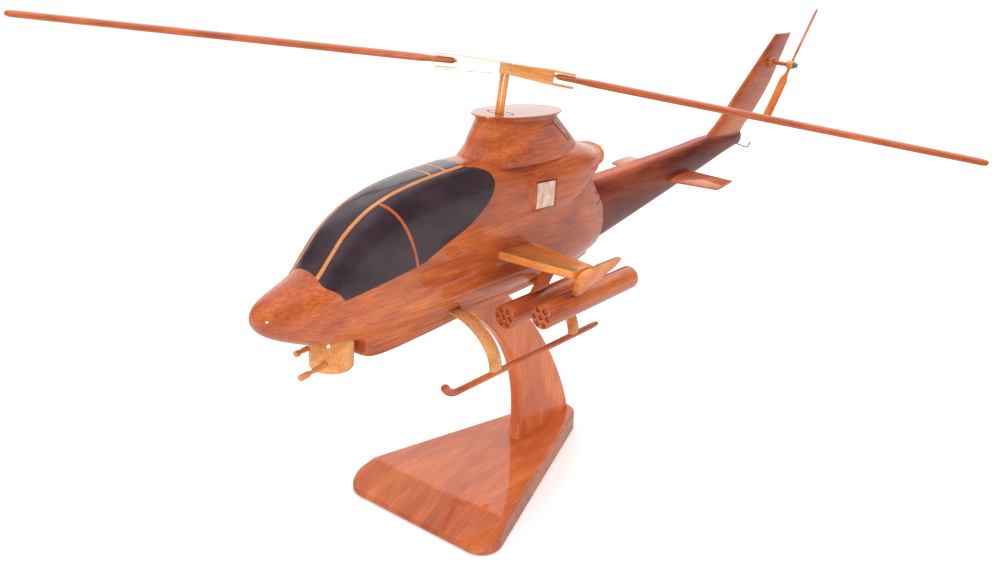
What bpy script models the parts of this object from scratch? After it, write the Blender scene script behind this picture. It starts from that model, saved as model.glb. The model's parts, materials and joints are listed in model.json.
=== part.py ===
"""Desk model of a two-seat attack helicopter, carved in mahogany, on a triangular stand.

All dimensions are millimetres of the finished model and become metres when a mesh is made.
The stand is level. The helicopter is modelled in its own frame: nose towards -Y, port side
towards +X, origin where the main rotor's mast axis meets the top of the pylon fairing. An
empty carries that frame, raised above the stand and pitched nose-up. The world origin lies on
the underside of the base, below that frame's origin.
"""
import math

import bmesh
import bpy
from mathutils import Vector

MM = 0.001
GAP = 0.35  # clearance left between two glued pieces

# Stand
BASE_THICKNESS = 14.0
BASE_FRONT_Y = -82.5
BASE_FRONT_HALF_WIDTH = 63.0
BASE_SIDE_SLOPE = 0.332  # half width lost per millimetre towards the apex
BASE_FRONT_CORNER_RADIUS = 13.0
BASE_APEX_RADIUS = 13.0
BASE_BEVEL_BACK_Y = -58.5
BASE_FRONT_EDGE_HEIGHT = 3.6
COLUMN_THICKNESS = 9.0
DOWEL_RADIUS = 2.0
DOWEL_FIT = 0.3  # clearance around a glued dowel and at its ends
FOOT_DOWEL_Y = 42.0
FOOT_DOWEL_DEPTH = 9.0  # into the base
FOOT_DOWEL_TOP = BASE_THICKNESS + 22.0
HEAD_DOWEL_Y = -20.0
HEAD_DOWEL_LOW = 106.0
HEAD_DOWEL_TOP = 132.0
RUNNING_FIT = 0.1  # radial clearance around a shaft that turns

# Helicopter frame
FRAME_HEIGHT = 236.5
NOSE_UP = math.radians(4.6)

# Main rotor
ROTOR_RADIUS = 280.0
MAST_RADIUS = 2.6
MAST_FOOT_Z = -14.0
HUB_HEIGHT = 25.8
BLADE_RISE = 0.8  # blade axis above the arm's middle
TRUNNION_HALF_WIDTH = 5.4
TRUNNION_HALF_HEIGHT = 3.2
MAST_AFT_TILT = math.radians(4.8)
MAST_PORT_LEAN = math.radians(2.7)
ROTOR_REST_ANGLE = math.radians(37.2)
BLADE_DROOP = math.radians(2.6)
TRUNNION_HALF_LENGTH = 3.0
YOKE_LENGTH = 24.0
YOKE_INNER_SIZE = (9.5, 6.2)  # across the arm, upright
YOKE_OUTER_SIZE = (6.5, 8.6)
PRONG_LENGTH = 12.0
PRONG_THICKNESS = 1.3
BLADE_ROOT_RADIUS = 29.0
BLADE_CHORD = 10.6
BLADE_THICKNESS = 4.2
BLADE_ROOT_THICKNESS = 3.2  # between the prongs of its fork
TENON_RADIUS = 0.8
SOCKET_DEPTH = 6.5
TENON_DEPTH = 5.0

# Tail rotor
TAIL_ROTOR_Y = 347.3
TAIL_ROTOR_Z = 5.2
TAIL_ROTOR_RADIUS = 54.0
TAIL_HUB_X = 17.6
TAIL_HUB_RADIUS = 3.2
TAIL_HUB_LENGTH = 5.2
TAIL_SHAFT_RADIUS = 1.6
TAIL_SHAFT_START_X = 3.5
TAIL_NUT_RADIUS = 2.2
TAIL_NUT_END = 8.0  # from the hub's inner face
TAIL_BLADE_LEAN = math.radians(39.7)
TAIL_BLADE_PITCH = math.radians(-35.0)
TAIL_BLADE_CHORD = 7.0
TAIL_BLADE_THICKNESS = 1.7

# Canopy
SHELL_THICKNESS = 1.0
RECESS_CLEARANCE = 0.6  # below the panels
RECESS_MARGIN = 0.6  # around the panels
STRIP_WIDTH = 1.7
ROOF_STRIP_X = 8.8
WINDSHIELD_BASE_Y = -146.0
SILL_FRONT_Y = -135.5
SILL_SLOPE = math.tan(math.radians(8.2))
SILL_HEIGHT_AT_95 = -68.3
SIDE_STRIP_TOP_Y = -105.0
SIDE_STRIP_SILL_Y = -86.0
WINDOW_REAR = [
    (0.0, -41), (0.1, -33.5), (0.2, -28), (0.35, -23.4), (0.51, -22), (0.65, -24.6), (0.75, -29.5),
    (0.82, -36), (0.87, -42.5), (0.91, -51), (0.94, -61), (0.97, -71), (1.0, -82),
]  # rear edge of a side window: (share of the way from roof strip to sill, y)
WINDOW_TOP_X = ROOF_STRIP_X + STRIP_WIDTH / 2 + GAP

# Rocket pods, skids, wings
POD_RADIUS = 7.1
POD_LENGTH = 90.5
POD_SLOPE = math.radians(1.67)
SKID_X = 43.7
SKID_Z = -131.7
SKID_RADIUS = 1.9
SKID_SLOPE = math.radians(1.2)  # toes lower than heels
SKID_REAR_Y = 56.0
TOE_START_Y = -78.0
TOE_RADIUS = 12.0
TOE_TURN = math.radians(62)
TOE_SWELLING = 0.6
LEG_FRONT_Y = -45.5
LEG_REAR_Y = 29.9
LEG_CHORD = 10.5
LEG_ROOT_X = 11.0
LEG_ROOT_Z = -104.5
LEG_THICKNESS = 3.6
WING_TIP_X = 67.5

# Station curves of the fuselage: (y, value), joined by smooth curves
BODY_TOP = [
    (-177.4, -79), (-176, -75), (-171, -70), (-160, -65.8), (-147, -60.8), (-137.6, -52.3),
    (-128.4, -43.2), (-119, -37), (-110, -32.6), (-89, -26.8), (-64, -23.4), (-27, -21),
    (0, -21), (40, -25), (60, -32), (84, -41), (97, -54),
]
BODY_HALF_WIDTH = [
    (-177.4, 1.5), (-176, 6), (-171, 9.6), (-160, 13.2), (-146, 16.4), (-128, 18.6), (-100, 19.8),
    (-40, 20), (40, 20), (75, 18.2), (97, 15.4),
]
BODY_WIDE_Z = [(-177.4, -80), (-160, -80.5), (-120, -80), (0, -78), (97, -78)]
BODY_BOTTOM = [
    (-177.4, -81), (-176, -84.5), (-171, -88.8), (-160, -94.2), (-143, -100.2), (-128, -103.4),
    (-112, -104.6), (-50, -104.5), (40, -104.5), (97, -101),
]
BODY_UPPER_POWER = [
    (-177.4, 2.0), (-150, 2.1), (-134, 2.8), (-110, 3.3), (-40, 3.4), (0, 3.6), (60, 3.0), (97, 2.0),
]
BODY_LOWER_POWER = [(-177.4, 2.0), (-120, 2.4), (-60, 3.4), (40, 3.4), (97, 2.0)]
BODY_STATIONS = [
    -177.4, -176.7, -174.5, -171, -165, -158, -152, -146, -140, -134, -128, -121, -114, -106, -97,
    -87, -76, -64, -50, -36, -22, -8, 8, 24, 40, 54, 66, 76, 84, 91, 97,
]

COWLING_TOP = [
    (2, -29), (12, -24.5), (28, -21), (46, -20.5), (62, -22), (76, -24.5), (87, -27.2), (92, -29),
    (96, -27.8), (99, -30), (101, -34),
]
COWLING_HALF_WIDTH = [
    (2, 15.7), (12, 21.3), (28, 23.3), (46, 23.7), (64, 22), (80, 18), (91, 13.2), (95, 12.6), (101, 6),
]
COWLING_BOTTOM = [(2, -53), (12, -57), (30, -59.5), (48, -57), (64, -50), (78, -44), (91, -41), (101, -38)]
COWLING_STATIONS = [2, 6, 12, 20, 28, 38, 48, 58, 68, 78, 87, 92, 96, 99, 101]

KEEL_BOTTOM = [
    (-113.5, -113.5), (-107, -116), (-98, -116.5), (-70, -114.8), (-30, -111.6), (20, -109.5),
    (70, -106), (92, -102),
]
KEEL_HALF_WIDTH = [(-113.5, 10.5), (-100, 11), (-30, 12), (60, 11), (92, 8)]
KEEL_STATIONS = [-113.5, -109, -102, -92, -75, -55, -30, 0, 30, 60, 80, 92]

BOOM_TOP = [(97, -53), (163, -50), (218, -47), (258, -44.5), (313, -47)]
BOOM_BOTTOM = [(97, -98), (163, -85.5), (251, -68), (296, -59), (313, -57)]
BOOM_HALF_WIDTH = [(97, 13), (163, 10.4), (251, 7.4), (296, 5), (313, 2.6)]
BOOM_STATIONS = [97, 120, 145, 170, 195, 220, 245, 268, 285, 298, 307, 313]


def smooth(curve, y):
    """Value at y of the smooth curve through the given (y, value) points."""
    if y <= curve[0][0]:
        return curve[0][1]
    if y >= curve[-1][0]:
        return curve[-1][1]
    index = max(i for i in range(len(curve) - 1) if curve[i][0] <= y)
    y0, v0 = curve[index]
    y1, v1 = curve[index + 1]
    step = y1 - y0

    def slope(i):
        if i == 0 or i == len(curve) - 1:
            return (v1 - v0) / step
        before = (curve[i][1] - curve[i - 1][1]) / (curve[i][0] - curve[i - 1][0])
        after = (curve[i + 1][1] - curve[i][1]) / (curve[i + 1][0] - curve[i][0])
        return 0.0 if before * after <= 0 else 2 * before * after / (before + after)

    t = (y - y0) / step
    m0 = slope(index) * step
    m1 = slope(index + 1) * step
    return (
        (2 * t**3 - 3 * t**2 + 1) * v0
        + (t**3 - 2 * t**2 + t) * m0
        + (3 * t**2 - 2 * t**3) * v1
        + (t**3 - t**2) * m1
    )


def power(value, exponent):
    """Signed power, for superellipses."""
    return math.copysign(abs(value) ** exponent, value)


def new_material(name, color, roughness, metallic=0.0):
    """Principled material of one named sub-part."""
    mat = bpy.data.materials.new(name)
    mat.use_nodes = True
    shader = mat.node_tree.nodes["Principled BSDF"]
    shader.inputs["Base Color"].default_value = (*color, 1.0)
    shader.inputs["Roughness"].default_value = roughness
    shader.inputs["Metallic"].default_value = metallic
    return mat


MAHOGANY = (0.36, 0.095, 0.035)
DARK_MAHOGANY = (0.20, 0.045, 0.025)
LIGHT_WOOD = (0.62, 0.27, 0.09)
PALE_WOOD = (0.72, 0.52, 0.36)
SMOKED_BLACK = (0.018, 0.014, 0.020)
STEEL = (0.45, 0.45, 0.45)


def clear_scene():
    for item in list(bpy.data.objects):
        bpy.data.objects.remove(item)


def add_object(name, bm, parent, color, roughness=0.2, metallic=0.0):
    """Object made from a bmesh drawn in millimetres, smooth-shaded with sharp edges kept."""
    bmesh.ops.scale(bm, vec=(MM, MM, MM), verts=bm.verts)
    bmesh.ops.recalc_face_normals(bm, faces=bm.faces)
    mesh = bpy.data.meshes.new(name)
    bm.to_mesh(mesh)
    bm.free()
    item = bpy.data.objects.new(name, mesh)
    bpy.context.scene.collection.objects.link(item)
    item.parent = parent
    mesh.materials.append(new_material(name, color, roughness, metallic))
    mesh.shade_smooth()
    mesh.set_sharp_from_angle(angle=math.radians(35))
    return item


def add_empty(name, parent=None, location=(0, 0, 0), rotation=(0, 0, 0)):
    item = bpy.data.objects.new(name, None)
    bpy.context.scene.collection.objects.link(item)
    item.parent = parent
    item.location = Vector(location) * MM
    item.rotation_euler = rotation
    return item


def place(item, location=(0, 0, 0), rotation=(0, 0, 0)):
    item.location = Vector(location) * MM
    item.rotation_euler = rotation
    return item


def make_cutter(item):
    """Marks an object as a guide that only shapes others."""
    item.hide_render = True
    item.display_type = "WIRE"
    return item


def boolean(item, other, operation):
    modifier = item.modifiers.new(operation.title(), "BOOLEAN")
    modifier.operation = operation
    modifier.solver = "EXACT"
    modifier.object = other


def loft(rings):
    """Closed bmesh through rings of equal point counts, with a flat cap at each end."""
    bm = bmesh.new()
    rows = [[bm.verts.new(point) for point in ring] for ring in rings]
    count = len(rows[0])
    for low, high in zip(rows, rows[1:]):
        for i in range(count):
            j = (i + 1) % count
            bm.faces.new((low[i], low[j], high[j], high[i]))
    bm.faces.new(rows[0])
    bm.faces.new(rows[-1])
    return bm


def superellipse_ring(y, half_width, top, wide, bottom, upper, lower, count=32):
    """Cross-section at station y: two half superellipses that meet at their widest height."""
    ring = []
    for i in range(count):
        angle = math.tau * i / count
        sine = math.sin(angle)
        cosine = math.cos(angle)
        exponent = upper if cosine >= 0 else lower
        height = (top - wide) if cosine >= 0 else (wide - bottom)
        x = half_width * power(sine, 2 / exponent)
        z = wide + height * power(cosine, 2 / exponent)
        ring.append((x, y, z))
    return ring


def body_ring(y, grow=0.0, count=32):
    return superellipse_ring(
        y,
        smooth(BODY_HALF_WIDTH, y) + grow,
        smooth(BODY_TOP, y) + grow,
        smooth(BODY_WIDE_Z, y),
        smooth(BODY_BOTTOM, y) - grow,
        smooth(BODY_UPPER_POWER, y),
        smooth(BODY_LOWER_POWER, y),
        count,
    )


def body_mesh(grow=0.0):
    """Main carved body from nose tip to rear bulkhead."""
    rings = [body_ring(y, grow) for y in BODY_STATIONS]
    if grow:
        first = [(x, y - grow, z) for x, y, z in rings[0]]
        last = [(x, y + grow, z) for x, y, z in rings[-1]]
        rings = [first] + rings + [last]
    return loft(rings)


def cowling_mesh(grow=0.0):
    """Engine cowling: the bulging saddle behind the pylon fairing."""
    rings = []
    for y in COWLING_STATIONS:
        top = smooth(COWLING_TOP, y) + grow
        bottom = smooth(COWLING_BOTTOM, y) - grow
        half_width = smooth(COWLING_HALF_WIDTH, y) + grow
        wide = 0.4 * top + 0.6 * bottom
        rings.append(superellipse_ring(y, half_width, top, wide, bottom, 2.3, 4.6, 28))
    return loft(rings)


def keel_mesh(grow=0.0):
    """Narrow belly keel; its front end is the step behind the turret."""
    rings = []
    for y in KEEL_STATIONS:
        half_width = smooth(KEEL_HALF_WIDTH, y) + grow
        bottom = smooth(KEEL_BOTTOM, y) - grow
        rings.append(superellipse_ring(y, half_width, -92.0, -98.0, bottom, 4.0, 6.0, 24))
    if grow:
        rings.insert(0, [(x, y - grow, z) for x, y, z in rings[0]])
    return loft(rings)


def box(low, high):
    bm = bmesh.new()
    bmesh.ops.create_cube(bm, size=1.0)
    size = [h - l for l, h in zip(low, high)]
    centre = [(h + l) / 2 for l, h in zip(low, high)]
    bmesh.ops.scale(bm, vec=size, verts=bm.verts)
    bmesh.ops.translate(bm, vec=centre, verts=bm.verts)
    return bm


def rod(start, end, radius, count=16, end_radius=None):
    """Round rod, or cone frustum, between two points."""
    axis = Vector(end) - Vector(start)
    bm = bmesh.new()
    other = radius if end_radius is None else end_radius
    bmesh.ops.create_cone(bm, cap_ends=True, segments=count, radius1=radius, radius2=other, depth=axis.length)
    turn = Vector((0, 0, 1)).rotation_difference(axis).to_matrix()
    bmesh.ops.rotate(bm, cent=(0, 0, 0), matrix=turn, verts=bm.verts)
    bmesh.ops.translate(bm, vec=(Vector(start) + Vector(end)) / 2, verts=bm.verts)
    return bm


def turned(profile, count=20):
    """Solid of revolution about Z from (radius, z) points, listed from one end to the other."""
    rings = []
    for radius, z in profile:
        rings.append([
            (radius * math.cos(math.tau * i / count), radius * math.sin(math.tau * i / count), z)
            for i in range(count)
        ])
    return loft(rings)


# ---------------------------------------------------------------- canopy


def body_point(y, angle):
    """Point of the body surface at station y; angle runs from the crown down the port side."""
    half_width = smooth(BODY_HALF_WIDTH, y)
    wide = smooth(BODY_WIDE_Z, y)
    exponent = 2 / smooth(BODY_UPPER_POWER, y)
    x = half_width * power(math.sin(angle), exponent)
    z = wide + (smooth(BODY_TOP, y) - wide) * power(math.cos(angle), exponent)
    return Vector((x, y, z))


def body_normal(y, angle):
    """Outward normal of the body, averaged over a few millimetres."""
    turn = 0.05
    reach = 3.0
    around = body_point(y, angle + turn) - body_point(y, angle - turn)
    along = body_point(y + reach, angle) - body_point(y - reach, angle)
    return around.cross(along).normalized()


def angle_at_x(y, x):
    half_width = smooth(BODY_HALF_WIDTH, y)
    exponent = smooth(BODY_UPPER_POWER, y) / 2
    return math.copysign(math.asin(min(1.0, (abs(x) / half_width) ** exponent)), x)


def angle_at_z(y, z):
    wide = smooth(BODY_WIDE_Z, y)
    exponent = smooth(BODY_UPPER_POWER, y) / 2
    share = (z - wide) / (smooth(BODY_TOP, y) - wide)
    return math.acos(min(1.0, max(0.0, share)) ** exponent)


def sill_angle(y, drop=0.0):
    return angle_at_z(y, SILL_HEIGHT_AT_95 + SILL_SLOPE * (y + 95) - drop)


def windshield_base_y(v):
    """The canopy's front edge: straight across the roof strips, then aft down each side."""
    return WINDSHIELD_BASE_Y + (SILL_FRONT_Y - WINDSHIELD_BASE_Y) * v**2.2


def canopy_rear_y(v):
    """The rounded rear edge of a side window, from roof strip (v=0) to sill (v=1)."""
    return smooth(WINDOW_REAR, v)


def side_strip_y(v):
    return SIDE_STRIP_TOP_Y + (SIDE_STRIP_SILL_Y - SIDE_STRIP_TOP_Y) * v**1.15


def surface_shell(point_at, columns, rows, outside=0.0, depth=SHELL_THICKNESS):
    """Closed thin shell following the body: point_at(u, v) gives (y, angle)."""
    bm = bmesh.new()
    layers = []
    for offset in (outside, -depth):
        layer = []
        for i in range(columns + 1):
            line = []
            for j in range(rows + 1):
                y, angle = point_at(i / columns, j / rows)
                line.append(bm.verts.new(body_point(y, angle) + body_normal(y, angle) * offset))
            layer.append(line)
        layers.append(layer)
    top, under = layers
    for i in range(columns):
        for j in range(rows):
            bm.faces.new((top[i][j], top[i + 1][j], top[i + 1][j + 1], top[i][j + 1]))
            bm.faces.new((under[i][j], under[i][j + 1], under[i + 1][j + 1], under[i + 1][j]))
    for i in range(columns):
        bm.faces.new((top[i][0], under[i][0], under[i + 1][0], top[i + 1][0]))
        bm.faces.new((top[i][rows], top[i + 1][rows], under[i + 1][rows], under[i][rows]))
    for j in range(rows):
        bm.faces.new((top[0][j], top[0][j + 1], under[0][j + 1], under[0][j]))
        bm.faces.new((top[columns][j], under[columns][j], under[columns][j + 1], top[columns][j + 1]))
    return bm


def mirror_x(bm):
    bmesh.ops.scale(bm, vec=(-1, 1, 1), verts=bm.verts)
    bmesh.ops.reverse_faces(bm, faces=bm.faces)
    return bm


def side_panel(front, rear):
    """Side window between a front edge and a rear edge, each a function of v."""
    def point_at(u, v):
        y = front(v) + (rear(v) - front(v)) * u
        roof = angle_at_x(y, WINDOW_TOP_X)
        return y, roof + (sill_angle(y) - roof) * v

    return point_at


def roof_band(low_x, high_x, front_y, rear_y):
    """Band over the roof between two lateral positions."""
    def point_at(u, v):
        y = front_y + (rear_y - front_y) * u
        return y, angle_at_x(y, low_x) + (angle_at_x(y, high_x) - angle_at_x(y, low_x)) * v

    return point_at


ROOF_REAR_Y = WINDOW_REAR[0][1]
CROSS_STRIP_YS = (-65.5, -54.5)


def canopy_parts(parent):
    """Dark panels and wooden strips, let into a recess in the body."""
    half_strip = STRIP_WIDTH / 2
    centre_half = ROOF_STRIP_X - half_strip - GAP
    strip_gap = half_strip + GAP
    stops = [WINDSHIELD_BASE_Y, *CROSS_STRIP_YS, ROOF_REAR_Y]
    names = ("canopy_windshield_panel", "canopy_roof_panel_middle", "canopy_roof_panel_rear")
    for index, name in enumerate(names):
        front_y = stops[index] + (strip_gap if index else 0.0)
        rear_y = stops[index + 1] - (strip_gap if index < 2 else 0.0)
        band = roof_band(-centre_half, centre_half, front_y, rear_y)
        add_object(name, surface_shell(band, 20 if index == 0 else 3, 4), parent, SMOKED_BLACK, 0.08)
    for name, y in zip(("canopy_cross_strip_front", "canopy_cross_strip_rear"), CROSS_STRIP_YS):
        band = roof_band(-centre_half, centre_half, y - half_strip, y + half_strip)
        add_object(name, surface_shell(band, 1, 4), parent, LIGHT_WOOD)
    for side, name in ((1, "port"), (-1, "starboard")):
        front = surface_shell(
            side_panel(windshield_base_y, lambda v: side_strip_y(v) - strip_gap), 14, 12)
        rear = surface_shell(
            side_panel(lambda v: side_strip_y(v) + strip_gap, canopy_rear_y), 12, 12)
        strip = surface_shell(
            side_panel(lambda v: side_strip_y(v) - half_strip, lambda v: side_strip_y(v) + half_strip), 1, 12)
        roof = surface_shell(
            roof_band(ROOF_STRIP_X - half_strip, ROOF_STRIP_X + half_strip, WINDSHIELD_BASE_Y, ROOF_REAR_Y),
            22, 1)
        for bm in (front, rear, strip, roof):
            if side < 0:
                mirror_x(bm)
        add_object("canopy_front_window_" + name, front, parent, SMOKED_BLACK, 0.08)
        add_object("canopy_rear_window_" + name, rear, parent, SMOKED_BLACK, 0.08)
        add_object("canopy_side_strip_" + name, strip, parent, MAHOGANY)
        add_object("canopy_roof_strip_" + name, roof, parent, LIGHT_WOOD)


ROOF_SHARE = 0.25  # part of the recess's half width that lies between the roof strips


def recess_point(u, v):
    """Outline of the whole canopy, from starboard sill over the roof to port sill."""
    across = 2 * v - 1
    side = max(0.0, (abs(across) - ROOF_SHARE) / (1 - ROOF_SHARE))
    front = windshield_base_y(side) - RECESS_MARGIN
    y = front + (canopy_rear_y(side) + RECESS_MARGIN - front) * u
    roof = angle_at_x(y, WINDOW_TOP_X)
    if side == 0.0:
        return y, roof * across / ROOF_SHARE
    return y, math.copysign(roof + (sill_angle(y, RECESS_MARGIN) - roof) * side, across)


def canopy_recess(parent):
    """Guide that sinks the body below the canopy panels."""
    shell = surface_shell(recess_point, 36, 32, 1.5, SHELL_THICKNESS + RECESS_CLEARANCE)
    return [make_cutter(add_object("canopy_recess", shell, parent, MAHOGANY))]


# ---------------------------------------------------------------- fuselage and top works


def fuselage(parent, guides):
    """One carved body: main body, belly keel and engine cowling in a single block."""
    item = add_object("fuselage", body_mesh(), parent, MAHOGANY)
    boolean(item, make_cutter(add_object("cowling_block", cowling_mesh(), parent, MAHOGANY)), "UNION")
    boolean(item, make_cutter(add_object("keel_block", keel_mesh(), parent, MAHOGANY)), "UNION")
    for guide in guides:
        boolean(item, guide, "DIFFERENCE")
    return item


INTAKE_LOW = (17.4, 13.0, -54.5)
INTAKE_HIGH = (30.0, 30.0, -37.5)
INSERT_THICKNESS = 2.7


def intake_guides(parent):
    guides = []
    for side, name in ((1, "port"), (-1, "starboard")):
        bm = box(INTAKE_LOW, INTAKE_HIGH)
        if side < 0:
            mirror_x(bm)
        guides.append(make_cutter(add_object("intake_recess_" + name, bm, parent, MAHOGANY)))
    return guides


def intake_inserts(parent):
    """Pale wooden plate at the bottom of each engine intake."""
    low = [value + GAP for value in INTAKE_LOW]
    high = (INTAKE_LOW[0] + GAP + INSERT_THICKNESS, INTAKE_HIGH[1] - GAP, INTAKE_HIGH[2] - GAP)
    for side, name in ((1, "port"), (-1, "starboard")):
        bm = box(low, high)
        if side < 0:
            mirror_x(bm)
        add_object("intake_insert_" + name, bm, parent, PALE_WOOD, 0.4)


PLATE_TILT = -0.03  # the top of the fairing falls this much per millimetre towards the tail


def oval_ring(z, half_length, half_width, centre_y, tilt=0.0, count=32):
    ring = []
    for i in range(count):
        angle = math.tau * i / count
        aft = half_length * math.cos(angle)
        ring.append((half_width * math.sin(angle), centre_y + aft, z + tilt * aft))
    return ring


def pylon_fairing(parent, body_guide, cowling_guide):
    """Truncated oval cone below the rotor, flaring out at its foot."""
    rings = [
        oval_ring(-27.0, 55.5, 20.0, 21.0),
        oval_ring(-22.0, 51.5, 19.4, 19.8),
        oval_ring(-17.0, 45.5, 18.6, 19.9),
        oval_ring(-10.0, 38.4, 17.8, 17.7),
        oval_ring(-5.4, 34.0, 17.0, 17.0, PLATE_TILT),
        oval_ring(-3.2, 32.5, 16.6, 17.0, PLATE_TILT),
    ]
    item = add_object("pylon_fairing", loft(rings), parent, MAHOGANY)
    boolean(item, body_guide, "DIFFERENCE")
    boolean(item, cowling_guide, "DIFFERENCE")
    return item


def pylon_cap(parent):
    """Thin oval plate with a flared brim on top of the fairing."""
    rings = [
        oval_ring(-3.2 + GAP, 32.5, 16.6, 17.0, PLATE_TILT),
        oval_ring(-1.4, 35.0, 17.8, 17.0, PLATE_TILT),
        oval_ring(-0.8, 36.2, 18.4, 17.0, PLATE_TILT),
        oval_ring(0.0, 36.2, 18.4, 17.0, PLATE_TILT),
    ]
    return add_object("pylon_cap", loft(rings), parent, MAHOGANY)


# ---------------------------------------------------------------- tail


def boom_mesh(grow=0.0):
    rings = []
    for y in BOOM_STATIONS:
        top = smooth(BOOM_TOP, y) + grow
        bottom = smooth(BOOM_BOTTOM, y) - grow
        half_width = smooth(BOOM_HALF_WIDTH, y) + grow
        start = y + GAP if y == BOOM_STATIONS[0] and not grow else y
        wide = 0.55 * top + 0.45 * bottom
        rings.append(superellipse_ring(start, half_width, top, wide, bottom, 2.0, 2.0, 24))
    return loft(rings)


FIN_SECTIONS = [  # height, leading edge y, trailing edge y, thickness
    (-52.0, 250.0, 312.5, 6.4),
    (-44.0, 259.0, 319.0, 6.2),
    (-37.6, 270.0, 328.5, 6.0),
    (-14.3, 301.0, 355.4, 5.0),
    (7.0, 329.5, 371.0, 4.2),
    (26.5, 355.5, 385.0, 3.4),
]


def airfoil_ring(front, rear, thickness, to_point, count=10, crest=0.6, fullness=0.7):
    """Streamlined section; to_point(along, across) places each of its points.

    A smaller crest moves the thickest place forward, and a smaller fullness makes both edges blunter.
    """
    ring = []
    for side in (1, -1):
        steps = range(count) if side > 0 else range(count, 0, -1)
        for i in steps:
            share = 0.5 * (1 - math.cos(math.pi * i / count))
            fill = math.sin(math.pi * share**crest) ** fullness if 0 < i < count else 0.0
            ring.append(to_point(front + (rear - front) * share, side * thickness / 2 * fill))
    return ring


def tail_fin(parent, boom_guide):
    """Swept fin standing on the boom."""
    rings = []
    for z, front, rear, thickness in FIN_SECTIONS:
        rings.append(airfoil_ring(front, rear, thickness, lambda along, across: (across, along, z)))
    item = add_object("tail_fin", loft(rings), parent, MAHOGANY)
    boolean(item, boom_guide, "DIFFERENCE")
    return item


def stabilisers(parent, boom_guide):
    """Horizontal stabiliser on each side of the boom."""
    for side, name, tip_z in ((1, "port", -67.5), (-1, "starboard", -65.5)):
        rings = []
        for x, front, rear, thickness, z in (
            (5.0, 190.0, 223.0, 3.4, -67.5), (44.0, 196.0, 222.0, 2.4, tip_z)
        ):
            rings.append(airfoil_ring(
                front, rear, thickness,
                lambda along, across: (side * x, along, z + 0.09 * (along - front) + across), 8))
        item = add_object("stabiliser_" + name, loft(rings), parent, MAHOGANY)
        boolean(item, boom_guide, "DIFFERENCE")


def sweep(path, section, sideways, count=12):
    """Solid swept along a path; section(i) gives (sideways, upright) half sizes at point i."""
    rings = []
    helper = Vector(sideways)
    for i, point in enumerate(path):
        before = Vector(path[max(i - 1, 0)])
        after = Vector(path[min(i + 1, len(path) - 1)])
        along = (after - before).normalized()
        side = helper - along * helper.dot(along)
        side.normalize()
        up = along.cross(side)
        wide, tall = section(i)
        rings.append([
            Vector(point)
            + side * wide * math.cos(math.tau * k / count)
            + up * tall * math.sin(math.tau * k / count)
            for k in range(count)
        ])
    return loft(rings)


WIRE_RADIUS = 0.55


def tail_skid(parent):
    """Bent wire bumper under the end of the boom."""
    path = [(0, 313.5, -57.6), (0, 322, -60.2), (0, 332, -62.6), (0, 334.5, -62.2), (0, 336.5, -59)]
    wire = sweep(path, lambda i: (WIRE_RADIUS, WIRE_RADIUS), (1, 0, 0), 8)
    return add_object("tail_skid_wire", wire, parent, STEEL, 0.35, 1.0)


# ---------------------------------------------------------------- wings, pods, skids


def wings(parent, body_guide):
    for side, name in ((1, "port"), (-1, "starboard")):
        rings = []
        for x, front, rear, thickness, z in (
            (15.0, -18.8, 17.0, 5.4, -76.0), (WING_TIP_X, -13.5, 10.0, 4.6, -77.0)
        ):
            rings.append(airfoil_ring(
                front, rear, thickness, lambda along, across: (side * x, along, z + across), 10, 0.45, 0.35))
        item = add_object("stub_wing_" + name, loft(rings), parent, MAHOGANY)
        boolean(item, body_guide, "DIFFERENCE")
        end_plate(parent, side, name)
        inner_pylon(parent, side, name)


END_PLATE_OUTLINE = [
    (-10.6, -77.5), (-6.0, -74.8), (8.0, -73.4), (27.5, -73.4), (27.8, -75.0),
    (24.0, -79.0), (16.0, -82.2), (6.0, -85.6), (-3.0, -90.2), (-7.6, -90.2), (-9.8, -84.0),
]
INNER_PYLON_OUTLINE = [(3.0, -79.4), (15.5, -79.4), (1.5, -94.5), (-11.5, -94.9)]


END_PLATE_X = 71.2
END_PLATE_THICKNESS = 4.0
END_PLATE_LEAN = 0.34
INNER_PYLON_THICKNESS = 3.4
OUTER_POD = (62.0, -32.0, -97.9)  # centre of the front face
INNER_POD = (39.8, -35.8, -103.2)


def plank(outline, thickness, bevel):
    """Flat plank from an outline in the (y, z) plane, centred on x = 0, with eased edges."""
    bm = bmesh.new()
    face = bm.faces.new([bm.verts.new((-thickness / 2, y, z)) for y, z in outline])
    extruded = bmesh.ops.extrude_face_region(bm, geom=[face])
    moved = [item for item in extruded["geom"] if isinstance(item, bmesh.types.BMVert)]
    bmesh.ops.translate(bm, vec=(thickness, 0, 0), verts=moved)
    rims = [edge for edge in bm.edges if abs(edge.verts[0].co.x - edge.verts[1].co.x) < 1e-6]
    bmesh.ops.bevel(bm, geom=rims, offset=bevel, segments=2, profile=0.5, affect="EDGES")
    return bm


def end_plate(parent, side, name):
    """Leaf-shaped plate at a wing tip, hollowed below to sit on the outer pod; it leans inboard."""
    bm = plank(END_PLATE_OUTLINE, END_PLATE_THICKNESS, 0.7)
    for vert in bm.verts:
        vert.co.x += END_PLATE_X + END_PLATE_LEAN * (vert.co.z + 76.0)
    if side < 0:
        mirror_x(bm)
    item = add_object("wing_end_plate_" + name, bm, parent, MAHOGANY)
    seat = rod((0, -5.0, 0), (0, POD_LENGTH, 0), POD_RADIUS + GAP, 24)
    cutter = make_cutter(add_object("pod_seat_" + name, seat, parent, MAHOGANY))
    place(cutter, (side * OUTER_POD[0], OUTER_POD[1], OUTER_POD[2]), (POD_SLOPE, 0, 0))
    boolean(item, cutter, "DIFFERENCE")


def inner_pylon(parent, side, name):
    bm = plank(INNER_PYLON_OUTLINE, INNER_PYLON_THICKNESS, 0.6)
    bmesh.ops.translate(bm, vec=(INNER_POD[0], 0, 0), verts=bm.verts)
    if side < 0:
        mirror_x(bm)
    add_object("inner_pylon_" + name, bm, parent, MAHOGANY)


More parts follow.
